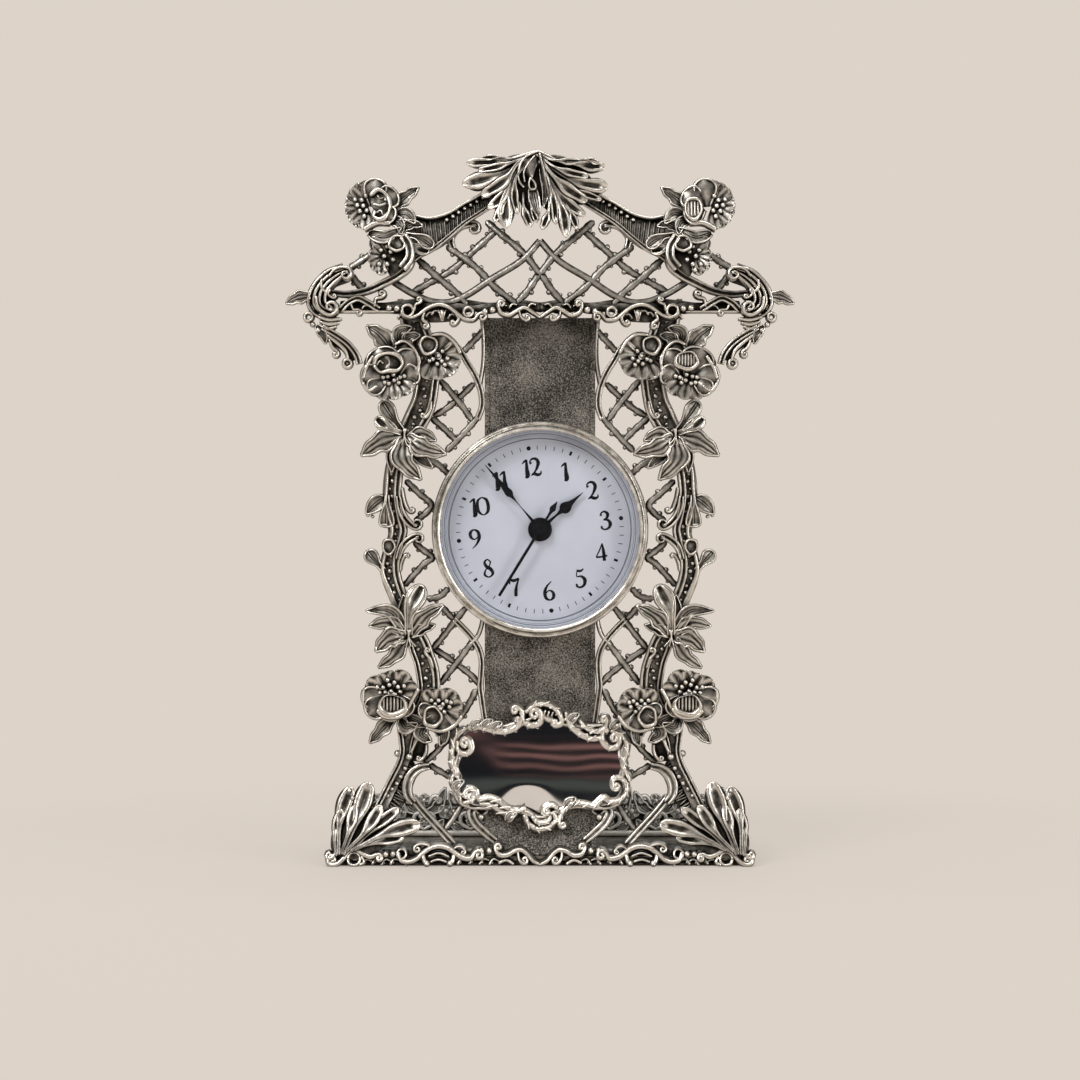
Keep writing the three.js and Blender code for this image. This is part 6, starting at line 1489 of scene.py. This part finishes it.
# The cup, its rear cover, the sliding cover of the cell and the knob are moulded in black plastic, and a
# rubber ring round the cup grips the collar.
def moulded(surface):
    grain = surface.noise(2200.0, 2.0)
    return {
        "Base Color": surface.noise(60.0).mix((0.012, 0.012, 0.013, 1), (0.022, 0.022, 0.024, 1)),
        "Roughness": grain * 0.2 + 0.42,
        "Normal": surface.bump(grain, 0.25, 0.0001),
    }


def rubber(surface):
    return {
        "Base Color": surface.noise(200.0).mix((0.008, 0.008, 0.008, 1), (0.016, 0.016, 0.016, 1)),
        "Roughness": surface.noise(900.0) * 0.2 + 0.7,
    }


PLASTIC = finish("moulded_black", {}, moulded)
CUP = [(3.2, 2.4), (31, 2.4), (31.2, 2.6), (31.2, 23.4), (29.8, 23.4), (29.8, 3.8), (3.2, 3.8)]
GRIP = [(31.5, 2.7), (31.8, 2.7), (31.8, 7.7), (31.5, 7.7)]
turned("cup", CUP, PLASTIC, "movement_cup")
for node in ("rear_cover", "cell_cover", "time_knob"):
    dress(node, PLASTIC, 30)
turned("rubber_ring", GRIP, finish("rubber", {}, rubber), "grip_ring")


# Inside the cup are the board with the motor's coil, the cell between its contacts, and the wheels, each in
# the plain finish of its trade.
def plain(name, dark, light, metal, rough, scale):
    """A finish between two tones, in spots of that scale."""
    def varied(surface):
        tone = surface.noise(scale, 4.0)
        return {
            "Base Color": tone.rise(0.3, 0.7).mix((*dark, 1), (*light, 1)),
            "Roughness": tone * 0.15 + rough,
            "Normal": surface.bump(surface.noise(scale * 4), 0.1, 0.0001),
        }

    return finish(name, {"Metallic": metal}, varied)


NYLON = plain("white_nylon", (0.66, 0.65, 0.6), (0.74, 0.73, 0.69), 0.0, 0.35, 300.0)
BRASS = plain("cut_brass", (0.52, 0.36, 0.12), (0.64, 0.46, 0.18), 1.0, 0.22, 500.0)
STEEL = plain("bright_steel", (0.5, 0.5, 0.5), (0.62, 0.62, 0.63), 1.0, 0.2, 600.0)
COPPER = plain("winding_copper", (0.3, 0.11, 0.05), (0.5, 0.2, 0.1), 1.0, 0.3, 1800.0)
MASK = plain("green_mask", (0.02, 0.09, 0.035), (0.035, 0.13, 0.05), 0.0, 0.35, 400.0)
SLEEVE = plain("plain_sleeve", (0.16, 0.02, 0.02), (0.22, 0.03, 0.03), 0.3, 0.28, 120.0)
INSIDE = {
    "third_wheel": NYLON, "motion_wheel": NYLON, "hour_wheel": NYLON,
    "centre_wheel": BRASS, "cannon_pinion": BRASS,
    "second_wheel": STEEL, "contact_negative": STEEL, "contact_positive": STEEL,
    "motor_coil": COPPER, "circuit_board": MASK, "cell": SLEEVE,
}
for node, material in INSIDE.items():
    dress(node, material, 30)


# The studio: a camera level with the dial's middle, a seamless pale floor and background, soft lamps, and
# a dim room in front that the polished metal mirrors.
SCENE = bpy.context.scene
SCENE.view_settings.view_transform = "Standard"
PAPER = (0.723, 0.651, 0.584, 1)
camera = bpy.data.objects.new("camera", bpy.data.cameras.new("camera"))
camera.location = (0, -0.81, 0.107)
camera.rotation_euler = (math.pi / 2, 0, 0)
camera.data.sensor_width = 36
camera.data.lens = 79.5
SCENE.collection.objects.link(camera)
SCENE.camera = camera


def lamp(name, place, size, power):
    data = bpy.data.lights.new(name, "AREA")
    data.shape = "RECTANGLE"
    data.size, data.size_y = size
    data.energy = power
    made = bpy.data.objects.new(name, data)
    made.location = place
    made.rotation_euler = (Vector((0, 0, 0.12)) - Vector(place)).to_track_quat("-Z", "Y").to_euler()
    SCENE.collection.objects.link(made)


lamp("key", (-0.5, -0.7, 0.8), (0.4, 0.4), 5)
lamp("fill", (0.75, -0.6, 0.3), (0.25, 0.7), 3)
lamp("top", (0, 0, 1), (0.7, 0.5), 5)
lamp("back", (0.1, 0.9, 0.5), (0.8, 0.5), 1.5)


def ray_shares(surface):
    """1 for what the camera sees, through glass too, and 1 for what polished metal mirrors."""
    camera_ray, glass_ray, mirrored_ray = (
        surface.node("LightPath", out=f"Is {kind} Ray") for kind in ("Camera", "Transmission", "Glossy")
    )
    return camera_ray + glass_ray, mirrored_ray


world = bpy.data.worlds.new("studio")
world.use_nodes = True
SCENE.world = world
surface = Shade(world.node_tree)
seen, mirrored_ray = ray_shares(surface)
way = surface.node("TexCoord", out="Generated")
front = 0 - surface.node("SeparateXYZ", {}, {0: way}, "Y")
rise = surface.node("SeparateXYZ", {}, {0: way}, "Z")
sideways = surface.node("SeparateXYZ", {}, {0: way}, "X")
room = rise.rise(-0.6, 0.7).mix((0.1, 0.09, 0.08, 1), (0.46, 0.423, 0.382, 1))
room = front.rise(-0.8, 0.4).mix((0.07, 0.062, 0.054, 1), room)
sway = surface.node("Math", {"operation": "SINE"}, {0: sideways * 40.0 + 1.0}) * 0.006
height = rise - (0 - sideways).rise(0.01, 0.04) * 0.1 + sway
ripple = surface.node("TexNoise", {}, {"Vector": way, "Scale": 24.0}) * 5.0
wave = surface.node("Math", {"operation": "SINE"}, {0: height * 190.0 + ripple})
uneven = surface.node("TexNoise", {}, {"Vector": way, "Scale": 9.0}).rise(0.15, 0.5)
drape = height.rise(0.155, 0.175) * (1 - height.rise(0.265, 0.295)) * wave.rise(-0.4, 0.8) * uneven
bands = drape.mix((0.01, 0.011, 0.013, 1), (0.25, 0.128, 0.115, 1))
bands = (rise.rise(0.1, 0.125) * (1 - rise.rise(0.14, 0.16))).mix(bands, (0.06, 0.066, 0.062, 1))
bands = rise.rise(0.058, 0.072).mix(PAPER, bands)
beside = surface.node("Math", {"operation": "ABSOLUTE"}, {0: sideways})
strip = (1 - beside.rise(0.16, 0.22)) * rise.rise(-0.5, -0.44) * (1 - rise.rise(0.42, 0.5))
room = (front.rise(0.8, 0.87) * strip).mix(room, bands)
tone = mirrored_ray.mix((0.5, 0.5, 0.5, 1), room)
tone = seen.mix(tone, PAPER)
world.node_tree.links.new(tone.socket, world.node_tree.nodes["Background"].inputs["Color"])

bpy.ops.mesh.primitive_plane_add(size=6)
floor = bpy.context.object
floor.name = "floor"
paper = bpy.data.materials.new("paper_floor")
paper.use_nodes = True
tree = paper.node_tree
tree.nodes.remove(tree.nodes["Principled BSDF"])
surface = Shade(tree)
seen, mirrored_ray = ray_shares(surface)
reach = surface.node("VectorMath", {"operation": "LENGTH"}, {0: surface.place()}, "Value")
glow = surface.node("Emission", {}, {"Color": PAPER})
matt = surface.node("BsdfDiffuse", {}, {"Color": (0.54, 0.486, 0.436, 1)})
shown = surface.node("MixShader", {}, {0: reach.rise(0.1, 0.3) * 0.45 + 0.55, 1: matt, 2: glow})
whole = surface.node("MixShader", {}, {0: seen + mirrored_ray, 1: matt, 2: shown})
tree.links.new(whole.socket, tree.nodes["Material Output"].inputs["Surface"])
floor.data.materials.append(paper)
